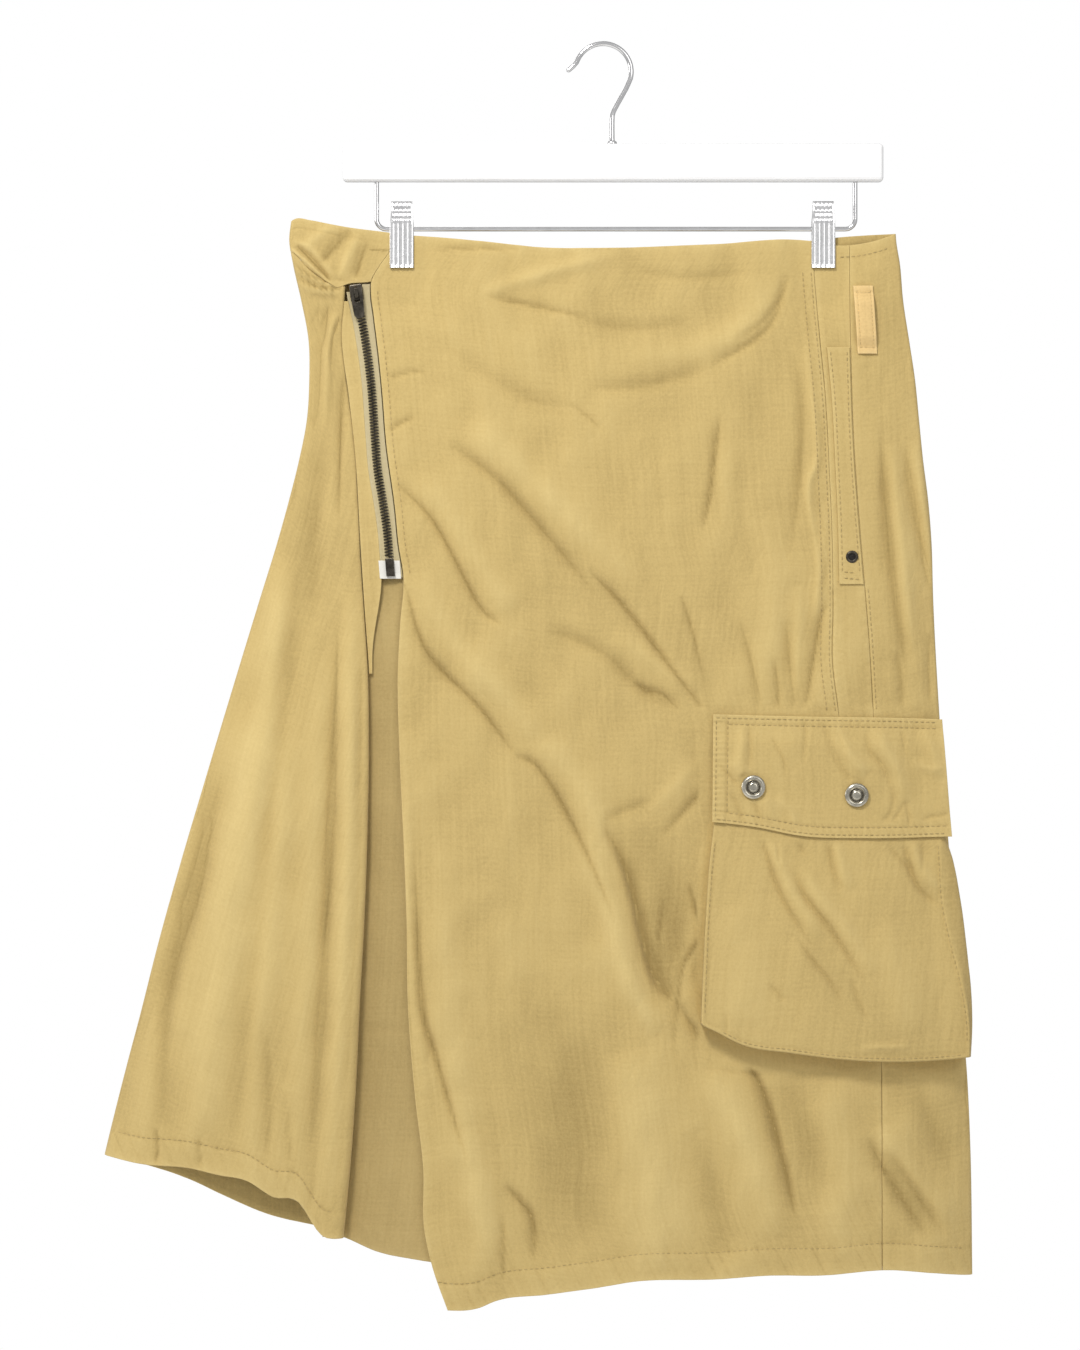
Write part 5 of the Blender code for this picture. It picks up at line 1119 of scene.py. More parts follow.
def make_underlap():
    """The cloth in the open pleat, sloping from behind the roll to behind the front, in a darker copy of the
    cotton with painted shadow.
    """
    along = spaced(34, 26.0)[None, :]
    down = spaced(150, 430.0)[:, None]
    top = 339.0
    drop = top + 438.0 * down + 0.0 * along
    for _ in range(8):
        left = roll_start(drop) - 5.0
        right = across(FRONT_LEFT_EDGE, drop) + 4.0
        x = left * (1 - along) + right * along
        drop = top * (1 - down) + drop_at(UNDERLAP_HEM, x) * down
    behind_roll = 2 * across(LEFT_ROLL_EDGE, drop, "roll") + SOLID_CLOTH + 2.2
    behind_front = SOLID_CLOTH + 2 * GAP - front_relief(x, drop) + 1.2
    sunk = behind_roll * (1 - along) + behind_front * along
    middle = np.sin(np.pi * along)
    relief = middle * (0.35 * crumple(x, drop, 51) - 0.8 * np.exp(-(((drop - 638.0) / 2.0) ** 2)))
    relief = relief + middle * hem_relief(x, drop, drop_at(UNDERLAP_HEM, x), 52)
    points = front_points(x, drop, body_depth(x, drop) - sunk + relief)
    thick = hem_thickness(drop, drop_at(UNDERLAP_HEM, x))
    # Painted shadow: darker beside the roll, which hangs over the underlap, and just behind the front panel's
    # edge.
    wear_and_shade = wear_and_shade_of(relief, border_distance(points)) - 0.55 * np.exp(-along / 0.2)
    wear_and_shade = wear_and_shade - 0.2 * np.exp(-(1 - along) / 0.1)
    made = shell("pleat_underlap_cloth", points, facing_back(points), FINISH["shaded"], thick, wear_and_shade, (2.4, 0.0))
    return cloth_piece(made, "pleat_underlap")


def front_strip(left, right, top, foot, columns, rows, depth):
    """A grid on the front between two lines listed by drop, at a depth given by x and drop."""
    along = spaced(columns, 12.0)[None, :]
    drop = top + (foot - top) * spaced(rows, abs(foot - top))[:, None] + 0.0 * along
    x = left(drop) * (1 - along) + right(drop) * along
    return front_points(x, drop, depth(x, drop)), x, drop


def welt_depth(x, drop):
    """Outer face of the placket strip: flat, with small puckers at its stitched edges."""
    left = x - across(FIRST_SEAM, drop) - 4.0
    right = across(SIDE_SEAM, drop) - 0.8 - x
    near = np.exp(-np.minimum(left, right) / 2.5)
    foot = np.exp(-(350.0 - drop) / 4.0)
    puckers = 0.25 * near * uneven(drop, 7.0, 61) + 0.2 * foot * uneven(x, 5.0, 62)
    return body_depth(x, drop) + GAP + 1.1 + puckers


def make_welt():
    points, x, drop = front_strip(
        lambda drop: across(FIRST_SEAM, drop) + 4.0, lambda drop: across(SIDE_SEAM, drop) - 0.8,
        196.0, 350.0, 16, 90, welt_depth)
    made = shell("side_placket_cloth", points, facing_back(points), FINISH["cotton"], 0.9,
                 wear_and_shade_of(0.0 * x, border_distance(points)), (2.6, 0.0))
    return cloth_piece(made, "side_pocket_welt")


def loop_depth(x, drop):
    """Outer face of the belt loop: its ends lie flat, and its middle stands off as an arch."""
    arch = 2.5 * ease(np.minimum(drop - 160.0, 196.4 - drop) / 8.0)
    across_loop = (x - 162.4 - (drop - 156.0) * 0.062) / 12.8
    crown = 0.35 * np.sin(np.pi * np.clip(across_loop, 0.0, 1.0))
    groove = sum(np.exp(-(((across_loop - place) / 0.05) ** 2)) for place in (0.16, 0.84))
    ends = np.exp(-(((drop - 160.5) / 1.0) ** 2)) + np.exp(-(((drop - 196.0) / 1.0) ** 2))
    return body_depth(x, drop) + GAP + 1.3 + arch + crown - 0.3 * groove - 0.4 * ends


def make_belt_loop():
    points, x, drop = front_strip(
        lambda drop: 162.4 + (drop - 156.0) * 0.062, lambda drop: 175.2 + (drop - 156.0) * 0.062,
        156.0, 200.4, 22, 50, loop_depth)
    made = shell("belt_loop_cloth", points, facing_back(points), FINISH["loop"], 1.2,
                 wear_and_shade_of(0.0 * x, border_distance(points)), (2.7, 0.0))
    return cloth_piece(made, "belt_loop")


def zip_middle(drop):
    """Middle line of the zip's teeth."""
    return across(ZIP_LINE, drop)


def make_zip_cloth():
    """The facing left of the zip, its two tapes with their raised inner cords, and the sealed ends."""
    made = []
    sunk = 1.2
    tape_edge = 6.4

    def facing_right(drop):
        beside = zip_middle(np.minimum(drop, ZIP_END)) - tape_edge + 0.3
        return beside - 6.0 * ease((drop - ZIP_END) / 52.0)

    strips = (
        ("zip_facing_cloth", "zip_facing", "cloth", "cotton", 166.0,
         lambda drop: across(LEFT_ROLL_EDGE, drop) - 0.4, facing_right, (0.01, 0.245)),
        ("zip_tape_left_cloth", "zip_tape_left", "zip_tape", "tape", 160.0,
         lambda drop: zip_middle(drop) - tape_edge, lambda drop: zip_middle(drop) - 1.0, (0.01, 0.186)),
        ("zip_tape_right_cloth", "zip_tape_right", "zip_tape", "tape", 154.6,
         lambda drop: zip_middle(drop) + 1.0, lambda drop: across(FRONT_LEFT_EDGE, drop) - 0.5,
         (0.01, 0.186)),
    )
    for name, node, slot, finish, top, left, right, flat in strips:
        lower = 0.35 if node != "zip_facing" else 0.0

        def depth(x, drop, node=node, lower=lower):
            cord = 0.5 * np.exp(-(((np.abs(x - zip_middle(drop)) - 2.2) / 0.7) ** 2)) * (lower > 0)
            ripple = 0.22 * uneven(drop, 9.0, 71) if node == "zip_facing" else 0.0
            tucked = 3.4 * ease((drop - ZIP_END) / 60.0)
            return body_depth(x, drop) - sunk - lower - tucked + cord + ripple

        foot = 408.0 if node == "zip_facing" else ZIP_END
        points, x, drop = front_strip(left, right, top, foot, 10, 90, depth)
        piece = shell(name, points, facing_back(points), FINISH[finish], 0.6,
                      wear_and_shade_of(0.0 * x, border_distance(points)), (2.8, 0.0))
        made.append(cloth_piece(piece, node))
    points, x, drop = front_strip(
        lambda drop: zip_middle(drop) - 7.2, lambda drop: zip_middle(drop) + 6.6, 334.6, 346.4, 14, 12,
        lambda x, drop: body_depth(x, drop) - sunk + 0.35)
    film = shell("zip_tape_end", points, facing_back(points), FINISH["film"], 0.3)
    return made


def boxes(name, centres, sides, finish, body=GARMENT):
    """Many small blocks with cut corners, as one mesh.

    centres is (n, 3). sides is (n, 3, 3): half the block along each of its own three directions. Each block
    is three eight-cornered rings: its foot, a full shoulder and a smaller top.
    """
    corner = np.array([(1, 0.5), (0.5, 1), (-0.5, 1), (-1, 0.5), (-1, -0.5), (-0.5, -1), (0.5, -1), (1, -0.5)])
    rings = np.array([(-1.0, 1.0), (0.5, 1.0), (1.0, 0.6)])
    local = np.concatenate([
        np.column_stack([corner * scale, np.full(len(corner), rise)]) for rise, scale in rings])
    points = centres[:, None, :] + np.einsum("pk,nkc->npc", local, sides)
    ring = np.arange(8)
    around = np.roll(ring, -1)
    quads = np.concatenate([
        np.stack([ring + base, around + base, around + base + 8, ring + base + 8], -1) for base in (0, 8)])
    count = len(centres)
    shift = (np.arange(count) * len(local))[:, None, None]
    all_quads = (quads[None] + shift).reshape(-1, 4)
    caps = (np.stack([ring[::-1], ring + 16])[None] + shift).reshape(-1, 8)
    return put(name, points.reshape(-1, 3), [all_quads, caps], finish, body, sharp=35)


def make_zip_teeth():
    """Metal teeth, left and right in turn, each a small block across the middle line."""
    pitch, half_tooth = 2.0, 0.5
    drop = np.arange(167.0, 333.0, pitch / 2)
    side = np.where(np.arange(len(drop)) % 2 == 0, -1.0, 1.0)
    slope = zip_middle(drop + 0.5) - zip_middle(drop - 0.5)
    x = zip_middle(drop) + side * 1.15
    depth = body_depth(zip_middle(drop), drop) - 1.2 + 0.55
    centres = np.stack([x, -depth, -drop], -1)
    zero = 0.0 * drop
    over = np.stack([1.7 + zero, zero, 1.7 * slope], -1)
    along = np.stack([half_tooth * slope, zero, -half_tooth + zero], -1)
    out = np.stack([zero, -0.75 + zero, zero], -1)
    sides = np.stack([over, along, out], 1)
    sides[:, 1] *= -1
    teeth = boxes("zip_teeth", centres, sides, FINISH["brass"])
    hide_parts("zip_chain")
    bed_drop = np.linspace(166.0, 334.0, 60)[:, None]
    corners = np.array([(-2.7, 0.75), (-2.7, 0.95), (2.7, 0.95), (2.7, 0.75)])[None]
    bed_x = zip_middle(bed_drop) + corners[..., 0]
    bed_y = -(body_depth(zip_middle(bed_drop), bed_drop) - 2.0 + corners[..., 1] - 0.2)
    rings = np.stack([bed_x, bed_y, -bed_drop + 0.0 * bed_x], -1)[:, ::-1]
    bed = loft("zip_teeth_bed", rings, FINISH["tape"], sharp=30)


def loft(name, rings, finish, body=GARMENT, closed=False, sharp=None, capped=True):
    """Join rings of points, an array (rings, points, 3), into a closed skin."""
    count, sides = rings.shape[:2]
    index = np.arange(count * sides).reshape(count, sides)
    rows = np.concatenate([index, index[:1]]) if closed else index
    beside = np.roll(rows, -1, axis=1)
    faces = [np.stack([rows[:-1], beside[:-1], beside[1:], rows[1:]], -1).reshape(-1, 4)]
    if not closed and capped:
        faces.append(np.stack([index[0][::-1], index[-1]]))
    return put(name, rings.reshape(-1, 3), faces, finish, body, sharp=sharp)


def turned(name, profile, centre, finish, sides=48, closed=False, sharp=45):
    """A profile of (radius, rise) turned about a line that faces the front."""
    profile = np.asarray(profile, dtype=float)
    turn = np.linspace(0.0, 2 * math.pi, sides, endpoint=False)[None, :]
    x = centre[0] + profile[:, :1] * np.cos(turn)
    z = centre[2] + profile[:, :1] * np.sin(turn)
    y = centre[1] - profile[:, 1:] + 0.0 * turn
    return loft(name, np.stack([x, y, z], -1), finish, closed=closed, sharp=sharp)


def rounded_profile(points, steps=5):
    """A profile with its corners cut round: each corner becomes a short curve between its neighbours."""
    points = np.asarray(points, dtype=float)
    part = np.linspace(0.0, 1.0, steps)[:, None]
    made = [points[:1]]
    for before, corner, after in zip(points[:-2], points[1:-1], points[2:]):
        start, end = (before + 2 * corner) / 3, (after + 2 * corner) / 3
        made.append(start * (1 - part) ** 2 + 2 * corner * part * (1 - part) + end * part**2)
    made.append(points[-1:])
    return np.concatenate(made)


def pocket_ground(x, drop):
    """Depth of the cloth under the pocket, carried on straight past the skirt's rounded edge."""
    return body_depth(np.minimum(x, across(BODY, drop, "right") - 16.0), drop)


def near_snap(x, drop):
    """0 close to a snap and 1 away from it."""
    free = np.ones(np.broadcast(x, drop).shape)
    for snap_x, snap_drop in zip(*SNAPS.values()):
        free = free * ease((np.hypot(x - snap_x, drop - snap_drop) - 8.5) / 4.5)
    return free


def flap_depth(x, drop):
    """Outer face of the flap: on the cloth at its top, over the pocket below, with its own folds."""
    over = ease((drop - 441.0) / 15.0)
    stand = GAP + SOLID_CLOTH + over * across(POCKET_STAND, drop, "stand")
    left = x - across(FLAP_SIDES, drop, "left")
    top = drop - drop_at(FLAP_TOP, x)
    foot = drop_at(FLAP_FOOT, x) - drop
    folds = fold_height(x, drop, FLAP_FOLDS) + 0.2 * crumple(x, drop, 81, 14)
    bands = 0.32 * np.exp(-np.abs(top - 4.5) / 3.4) * ruffles(x, 5.2, 82)
    bands = bands + 0.38 * np.exp(-np.abs(foot - 4.5) / 3.4) * ruffles(x + 0.4 * foot, 5.0, 83)
    strip = ease((9.0 - left) / 1.5) * (0.45 + 0.42 * ruffles(drop, 3.6, 84))
    stitched = ((top, 6.2), (foot, 7.0), (left, 9.5))
    grooves = sum(np.exp(-(((away - place) / 0.8) ** 2)) for away, place in stitched)
    raised = near_snap(x, drop) * (folds + bands + strip - 0.4 * grooves)
    return pocket_ground(x, drop) + stand + np.maximum(raised, -1.1) + 0.4


def make_flap():
    along, down = spaced(176, 155.0)[None, :], spaced(92, 78.0)[:, None]
    drop = 434.0 + 80.0 * down + 0.0 * along
    for _ in range(6):
        x = across(FLAP_SIDES, drop, "left") * (1 - along) + across(FLAP_SIDES, drop, "right") * along
        drop = drop_at(FLAP_TOP, x) * (1 - down) + drop_at(FLAP_FOOT, x) * down
    depth = flap_depth(x, drop)
    points = front_points(x, drop, depth)
    over = ease((drop - 441.0) / 15.0) * across(POCKET_STAND, drop, "stand")
    flat = pocket_ground(x, drop) + GAP + SOLID_CLOTH + over
    # Painted shade: the flap's troughs are darkened through the mask.
    made = shell("cargo_flap_cloth", points, facing_back(points), FINISH["cotton"], 1.2,
                 wear_and_shade_of(depth - flat, border_distance(points)), (3.0, 0.0))
    return cloth_piece(made, "cargo_pocket_flap")


def bag_depth(x, drop):
    """Outer face of the pocket: it stands off more towards its foot, with gathers under the flap."""
    stand = across(POCKET_STAND, drop, "stand")
    below_flap = ease((drop - 514.0) / 8.0)
    folds = fold_height(x, drop, POCKET_FOLDS) + 0.35 * crumple(x, drop, 91, 16)
    gathers = 0.6 * np.exp(-np.maximum(drop - 512.0, 0.0) / 8.0) * ruffles(x, 6.0, 92)
    foot = drop_at(POCKET_FOOT, x) - drop
    sides = np.minimum(x - across(POCKET_SIDES, drop, "left"), across(POCKET_SIDES, drop, "right") - x)
    inside = np.minimum(foot, sides)
    edge = 0.25 * np.exp(-inside / 3.0) * ruffles(x + drop, 6.0, 93)
    ridge = 0.6 * np.exp(-(((inside - 1.0) / 1.1) ** 2)) - 0.35 * np.exp(-(((inside - 3.2) / 0.9) ** 2))
    return pocket_ground(x, drop) + stand + below_flap * (folds + gathers + edge + ridge)


def make_bag():
    """The pocket's face, with side and foot gussets that carry it back to the cloth as one skin."""
    along = np.linspace(0.0, 1.0, 150)[None, :]
    down = np.linspace(0.0, 1.0, 170)[:, None]
    drop = POCKET_TOP + 190.0 * down + 0.0 * along
    for _ in range(8):
        left, right = across(POCKET_SIDES, drop, "left"), across(POCKET_SIDES, drop, "right")
        x = left * (1 - along) + right * along
        drop = POCKET_TOP * (1 - down) + drop_at(POCKET_FOOT, x) * down
    depth = bag_depth(x, drop)
    steps = 9
    part = np.linspace(0.0, 1.0, steps + 1)[1:][None, :]
    last_x, last_drop, last_depth = x[:, -1:], drop[:, -1:], depth[:, -1:]
    base_x = np.minimum(across(BODY, last_drop, "right") - 3.0, last_x + 6.0)
    base_depth = body_depth(base_x, last_drop) + GAP
    bulge_x = across(POCKET_SIDES, last_drop, "bulge")
    middle_depth = (base_depth + last_depth) / 2
    steer_x = (4 * bulge_x - last_x - base_x) / 2
    right_x = last_x * (1 - part) ** 2 + steer_x * 2 * part * (1 - part) + base_x * part**2
    right_depth = last_depth * (1 - part) ** 2 + 2 * middle_depth * part * (1 - part) + base_depth * part**2
    hung = ease((last_drop - 520.0) / 30.0)
    tuck = 1.2 * np.exp(-(((part - 0.56) / 0.12) ** 2)) + 1.1 * np.exp(-(((part - 0.12) / 0.1) ** 2))
    right_x = right_x - hung * tuck
    first_x, first_drop, first_depth = x[:, :1], drop[:, :1], depth[:, :1]
    back = part[:, ::-1]
    left_x = first_x + 0.6 * np.sin(np.pi * back) * ease((first_drop - 520.0) / 40.0)
    left_base = body_depth(first_x, first_drop) + GAP
    left_depth = first_depth * (1 - back) + left_base * back
    x = np.concatenate([left_x, x, right_x], axis=1)
    depth = np.concatenate([left_depth, depth, right_depth], axis=1)
    drop = np.concatenate([first_drop + 0.0 * back, drop, last_drop + 0.0 * part], axis=1)
    foot_part = np.linspace(0.0, 1.0, steps + 1)[1:][:, None]
    foot_x = np.minimum(x[-1:], across(BODY, drop[-1:], "right") - 3.0)
    foot_base = body_depth(foot_x, drop[-1:]) + GAP
    foot_x = x[-1:] * (1 - foot_part) + foot_x * foot_part
    foot_drop = drop[-1:] + 0.2 * foot_part - 1.2 * np.sin(np.pi * foot_part)
    foot_depth = depth[-1:] * (1 - foot_part) + foot_base * foot_part
    x = np.concatenate([x, foot_x])
    depth = np.concatenate([depth, foot_depth])
    drop = np.concatenate([drop, foot_drop])
    points = front_points(x, drop, depth)
    along_columns = np.gradient(points, axis=1)
    along_rows = np.gradient(points, axis=0)
    inward = np.cross(along_columns, along_rows)
    inward /= np.maximum(np.linalg.norm(inward, axis=-1, keepdims=True), 1e-9)
    flat = pocket_ground(x, drop) + across(POCKET_STAND, drop, "stand")
    # Painted shade: the pocket's troughs are darkened through the mask.
    made = shell("cargo_pocket_cloth", points, inward, FINISH["cotton"], 0.8,
                 wear_and_shade_of(np.clip(depth - flat, -2.0, 2.0), border_distance(points)), (3.2, 0.0))
    return cloth_piece(made, "cargo_pocket_bag")


def make_snaps():
    """Two ring caps: a rolled rim, a dark groove and a domed stud."""
    profile = rounded_profile([
        (7.5, 0.0), (7.9, 0.4), (7.75, 1.5), (6.6, 2.3), (5.2, 2.15), (4.5, 1.1), (4.2, 0.75), (3.3, 0.8),
        (3.0, 1.5), (2.2, 1.9), (0.9, 2.0), (0.25, 2.0)])
    around = np.linspace(0.0, 2 * math.pi, 16)
    names, nodes = ("snap_cap_left", "snap_cap_right"), ("snap_left", "snap_right")
    for name, node, x, drop in zip(names, nodes, *SNAPS.values()):
        rim = flap_depth(x + 7.8 * np.cos(around), drop + 7.8 * np.sin(around))
        seat = float(np.max(rim)) + 0.1
        cap = turned(name, profile, (x, -seat, -drop), FINISH["snap"])
        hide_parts(node)
        ring = rounded_profile([(3.35, 0.0), (3.35, 0.86), (4.35, 0.86), (4.35, 0.0)])
        groove = turned(name + "_groove", ring, (x, -seat, -drop), FINISH["brass"], closed=True)


def make_eyelet():
    """A pressed ring, and a dark disc in its hole as painted shade."""
    x, drop = np.array(EYELET[0]), np.array(EYELET[1])
    seat = float(welt_depth(x, drop)) + 0.05
    profile = rounded_profile([(4.0, 0.0), (4.05, 0.35), (3.3, 0.95), (2.3, 0.75), (2.1, 0.0)])
    ring = turned("eyelet", profile, (EYELET[0], -seat, -EYELET[1]), FINISH["brass"], 40, True)
    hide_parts("eyelet_ring")
    # Painted shade: a dark disc fills the ring's opening.
    hole = turned("eyelet_hole_shade", [(2.2, 0.0), (2.2, 0.12), (0.2, 0.12)], (EYELET[0], -seat, -EYELET[1]),
                  FINISH["hole"], 24)


def wire(name, path, radius, sides, finish, collar=()):
    """A round wire along (x, drop) points in the hanger's plane, its rings square to the path."""
    along = np.gradient(path, axis=0)
    along /= np.linalg.norm(along, axis=1)[:, None]
    radii = np.full(len(path), radius)
    if len(collar):
        more = np.array([(path[0, 0], drop) for _, drop in collar])
        path = np.concatenate([more, path])
        along = np.concatenate([np.repeat(along[:1], len(more), axis=0), along])
        radii = np.concatenate([[size for size, _ in collar], radii])
    round_end = np.array([1.0, 0.93, 0.7, 0.3])
    ends = radii[-1] * np.sqrt(1 - round_end[::-1] ** 2)[::-1]
    tip = path[-1:] + along[-1:] * ends[:, None]
    path = np.concatenate([path, tip])
    along = np.concatenate([along, np.repeat(along[-1:], len(tip), axis=0)])
    radii = np.concatenate([radii, radii[-1] * round_end])
    turn = np.linspace(0.0, 2 * math.pi, sides, endpoint=False)[None, :]
    x = path[:, :1] - radii[:, None] * np.cos(turn) * along[:, 1:]
    drop = path[:, 1:] + radii[:, None] * np.cos(turn) * along[:, :1]
    y = -radii[:, None] * np.sin(turn) + 0.0 * x
    return loft(name, np.stack([x, y, -drop], -1), finish, sharp=40)


def make_hanger():
    """Hook, rod, bar and clips."""
    radius, thick, stem_x, bar_top = 18.3, 1.6, 5.85, 63.7
    centre = radius - thick
    turn = np.radians(np.linspace(-14.0, 160.0, 60))
    ring = np.stack([radius * np.cos(turn), centre - radius * np.sin(turn)], -1)
    knots = table("x drop", (stem_x, 60.0), (stem_x, 48.0), (6.4, 43.5),
                  (8.8, 38.6), (12.0, 32.8), (15.2, 27.0),
                  tuple(ring[0]))
    place = np.arange(len(knots["x"]), dtype=float)
    fine = np.linspace(0.0, place[-1], 40)[:-1]
    stem = np.stack([smooth(fine, place, knots["x"]), smooth(fine, place, knots["drop"])], -1)
    tip = np.array([(-19.3, 12.9), (-20.9, 14.3), (-22.4, 15.5)])
    collar = [
        (0.5, bar_top - 0.1), (3.0, bar_top - 0.1), (3.1, bar_top - 0.9), (2.7, bar_top - 1.7),
        (1.7, bar_top - 2.1),
    ]
    hook = wire("hook_wire", np.concatenate([stem, ring, tip]), thick, 24, FINISH["steel"], collar)
    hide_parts("hanger_hook")

    left, right, low, bend = -147.2, 163.8, 119.0, 6.5
    quarter = np.radians(np.linspace(0.0, 90.0, 14))
    first = np.stack([left + bend * (1 - np.cos(quarter)), low - bend * (1 - np.sin(quarter))], -1)
    second = np.stack([right - bend * (1 - np.sin(quarter)), low - bend * (1 - np.cos(quarter))], -1)
    level = np.linspace(left + bend, right - bend, 16)[1:-1]
    path = np.concatenate([[(left, 88.6)], [(left, 100.0)], first, np.stack([level, low + 0.0 * level], -1),
                           second, [(right, 100.0)], [(right, 88.9)]])
    rod = wire("rod_wire", path, 1.5, 20, FINISH["steel"])
    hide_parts("hanger_rod")
    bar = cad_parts["hanger_bar"]
    bar.data.materials.clear()
    bar.data.materials.append(FINISH["paint"])
    names, nodes = ("clip_plates_left", "clip_plates_right"), ("clip_left", "clip_right")
    for name, node, x in zip(names, nodes, CLIP_ACROSS):
        make_clip(name, node, x)


def make_clip(name, node, centre):
    """A sprung clip: a ribbed plate bent over the rod, with level grips at its top and a lip at its foot."""
    width, top, foot, inside, plate = 15.3, 101.0, 144.3, 1.85, 1.3
    place = spaced(96, width, 1.0)[:, None] - 0.5
    drop = np.concatenate([np.linspace(foot, foot - 3.0, 6), np.linspace(foot - 4.0, 104.0, 84)])[None, :]
    upper = ease((116.0 - drop) / 4.0)
    ribs = 0.5 * np.abs(np.cos(place * 5 * math.pi)) ** 0.8
    grips = 0.45 * np.abs(np.cos((drop - 104.0) * math.pi / 3.4)) ** 0.8 * (np.abs(place) < 0.42)
    lip = 0.5 * np.exp(-((drop - foot) / 1.3) ** 2)
    pressed_shape = ribs * (1 - 0.5 * upper) + grips * upper
    outside = inside + plate + pressed_shape + lip - 0.5 * ease((108.0 - drop) / 4.0)
    taper = 1 - 0.12 * ease((118.0 - drop) / 14.0)
    dome = np.array([(0.93, 102.6), (0.75, 101.6), (0.4, 101.0), (0.0, 100.9)])
    cap_drop = dome[None, :, 1] + 0.0 * place
    cap_y = outside[:, -1:] * dome[None, :, 0]
    half_drop = np.concatenate([drop + 0.0 * place, cap_drop], axis=1)
    half_y = np.concatenate([outside, cap_y], axis=1)
    half_taper = np.concatenate([taper + 0.0 * place, 0.88 + 0.0 * cap_drop], axis=1)
    under = np.array([(foot, inside), (128.0, inside), (117.0, inside), (106.0, inside - 0.2)])
    under_drop = under[None, :, 0] + 0.0 * place
    under_y = under[None, :, 1] + 0.0 * place
    under_taper = 1.0 - 0.12 * ease((118.0 - under_drop) / 14.0)
    y = np.concatenate([half_y, -half_y[:, -2::-1], -under_y, under_y[:, ::-1]], axis=1)
    all_drop = np.concatenate([half_drop, half_drop[:, -2::-1], under_drop, under_drop[:, ::-1]], axis=1)
    narrow = np.concatenate([half_taper, half_taper[:, -2::-1], under_taper, under_taper[:, ::-1]], axis=1)
    x = centre + width * place * narrow
    rings = np.stack([x, y, -all_drop], -1)
    clip = loft(name, rings, FINISH["clip"], sharp=38)
    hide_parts(node)


def make_slider_and_pull():
    """The slider and pull tab keep their solids' form, with softened edges, in antique brass."""
    for node, piece, body in (("zip_slider", "slider_body", GARMENT), ("zip_pull", "pull_tab", PULL),
                              ("zip_box", "zip_stop_box", GARMENT)):
        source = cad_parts[node]
        mesh = source.data.copy()
        mesh.name = piece
        made = bpy.data.objects.new(piece, mesh)
        made.matrix_world = source.matrix_world
        bpy.context.scene.collection.objects.link(made)
        weld = made.modifiers.new("weld", "WELD")
        weld.merge_threshold = 0.00001
        bevel = made.modifiers.new("soft edges", "BEVEL")
        bevel.width = 0.00022
        bevel.segments = 2
        bevel.limit_method = "ANGLE"
        bevel.angle_limit = math.radians(35)
        made.data.materials.clear()
        made.data.materials.append(FINISH["brass"])
        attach(made, body)
        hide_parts(node)


def stitch_runs(name, runs, finish, length=2.5, gap=1.1, radius=0.27):
    """Rows of stitches as one mesh.

    Each run is a line of points on a surface that faces the front. A stitch is four rings of four points,
    low at both ends and raised in its middle.
    """
    middles, halves = [], []
    for points in runs:
        step = np.linalg.norm(np.diff(points, axis=0), axis=1)
        run = np.concatenate([[0.0], np.cumsum(step)])
        starts = np.arange(gap, run[-1] - length, length + gap)
        first = np.stack([np.interp(starts, run, points[:, axis]) for axis in range(3)], -1)
        second = np.stack([np.interp(starts + length, run, points[:, axis]) for axis in range(3)], -1)
        middles.append((first + second) / 2)
        halves.append((second - first) / 2)
    middle, half = np.concatenate(middles), np.concatenate(halves)
    out = np.array([0.0, -1.0, 0.0])
    beside = np.cross(half, out)
    beside /= np.linalg.norm(beside, axis=1, keepdims=True)
    places = np.array([(-1.0, -0.15, 0.5), (-0.6, 0.12, 1.0), (0.6, 0.12, 1.0), (1.0, -0.15, 0.5)])
    turn = np.radians([45.0, 135.0, 225.0, 315.0])
    rings = []
    for along, rise, size in places:
        centre = middle + along * half + out * rise
        for angle in turn:
            rings.append(centre + radius * size * (math.cos(angle) * beside + math.sin(angle) * out))
    points = np.stack(rings, axis=1)
    ring = np.arange(4)
    around = np.roll(ring, -1)
    sides = np.concatenate([
        np.stack([ring + b, around + b, around + b + 4, ring + b + 4], -1) for b in (0, 4, 8)])
    quads = np.concatenate([sides, [ring[::-1]], [ring + 12]])
    shift = (np.arange(len(points)) * 16)[:, None, None]
    faces = (quads[None] + shift).reshape(-1, 4)
    made = put(name, points.reshape(-1, 3), [faces], finish)
    return made


def down_line(line, top, foot, surface, lift=0.12):
    """Points down a seam: line gives x by drop, and surface gives the depth there."""
    drop = np.arange(top, foot, 1.5)
    x = line(drop)
    return np.stack([x, -surface(x, drop) - lift, -drop], -1)


def cross_line(line, left, right, surface, lift=0.12):
    """Points across a piece: line gives the drop by x, and surface gives the depth there."""
    x = np.arange(left, right, 1.5)
    drop = line(x)
    return np.stack([x, -surface(x, drop) - lift, -drop], -1)


def front_depth(x, drop):
    """Depth of the dressed front."""
    return body_depth(x, drop) + front_relief(x, drop)


def left_depth(x, drop):
    """Depth of the dressed left panel."""
    return body_depth(x, drop) + left_relief(x, drop)


def behind(points):
    """The same line of points on the back: its y turned round."""
    return points * np.array([1.0, -1.0, 1.0])


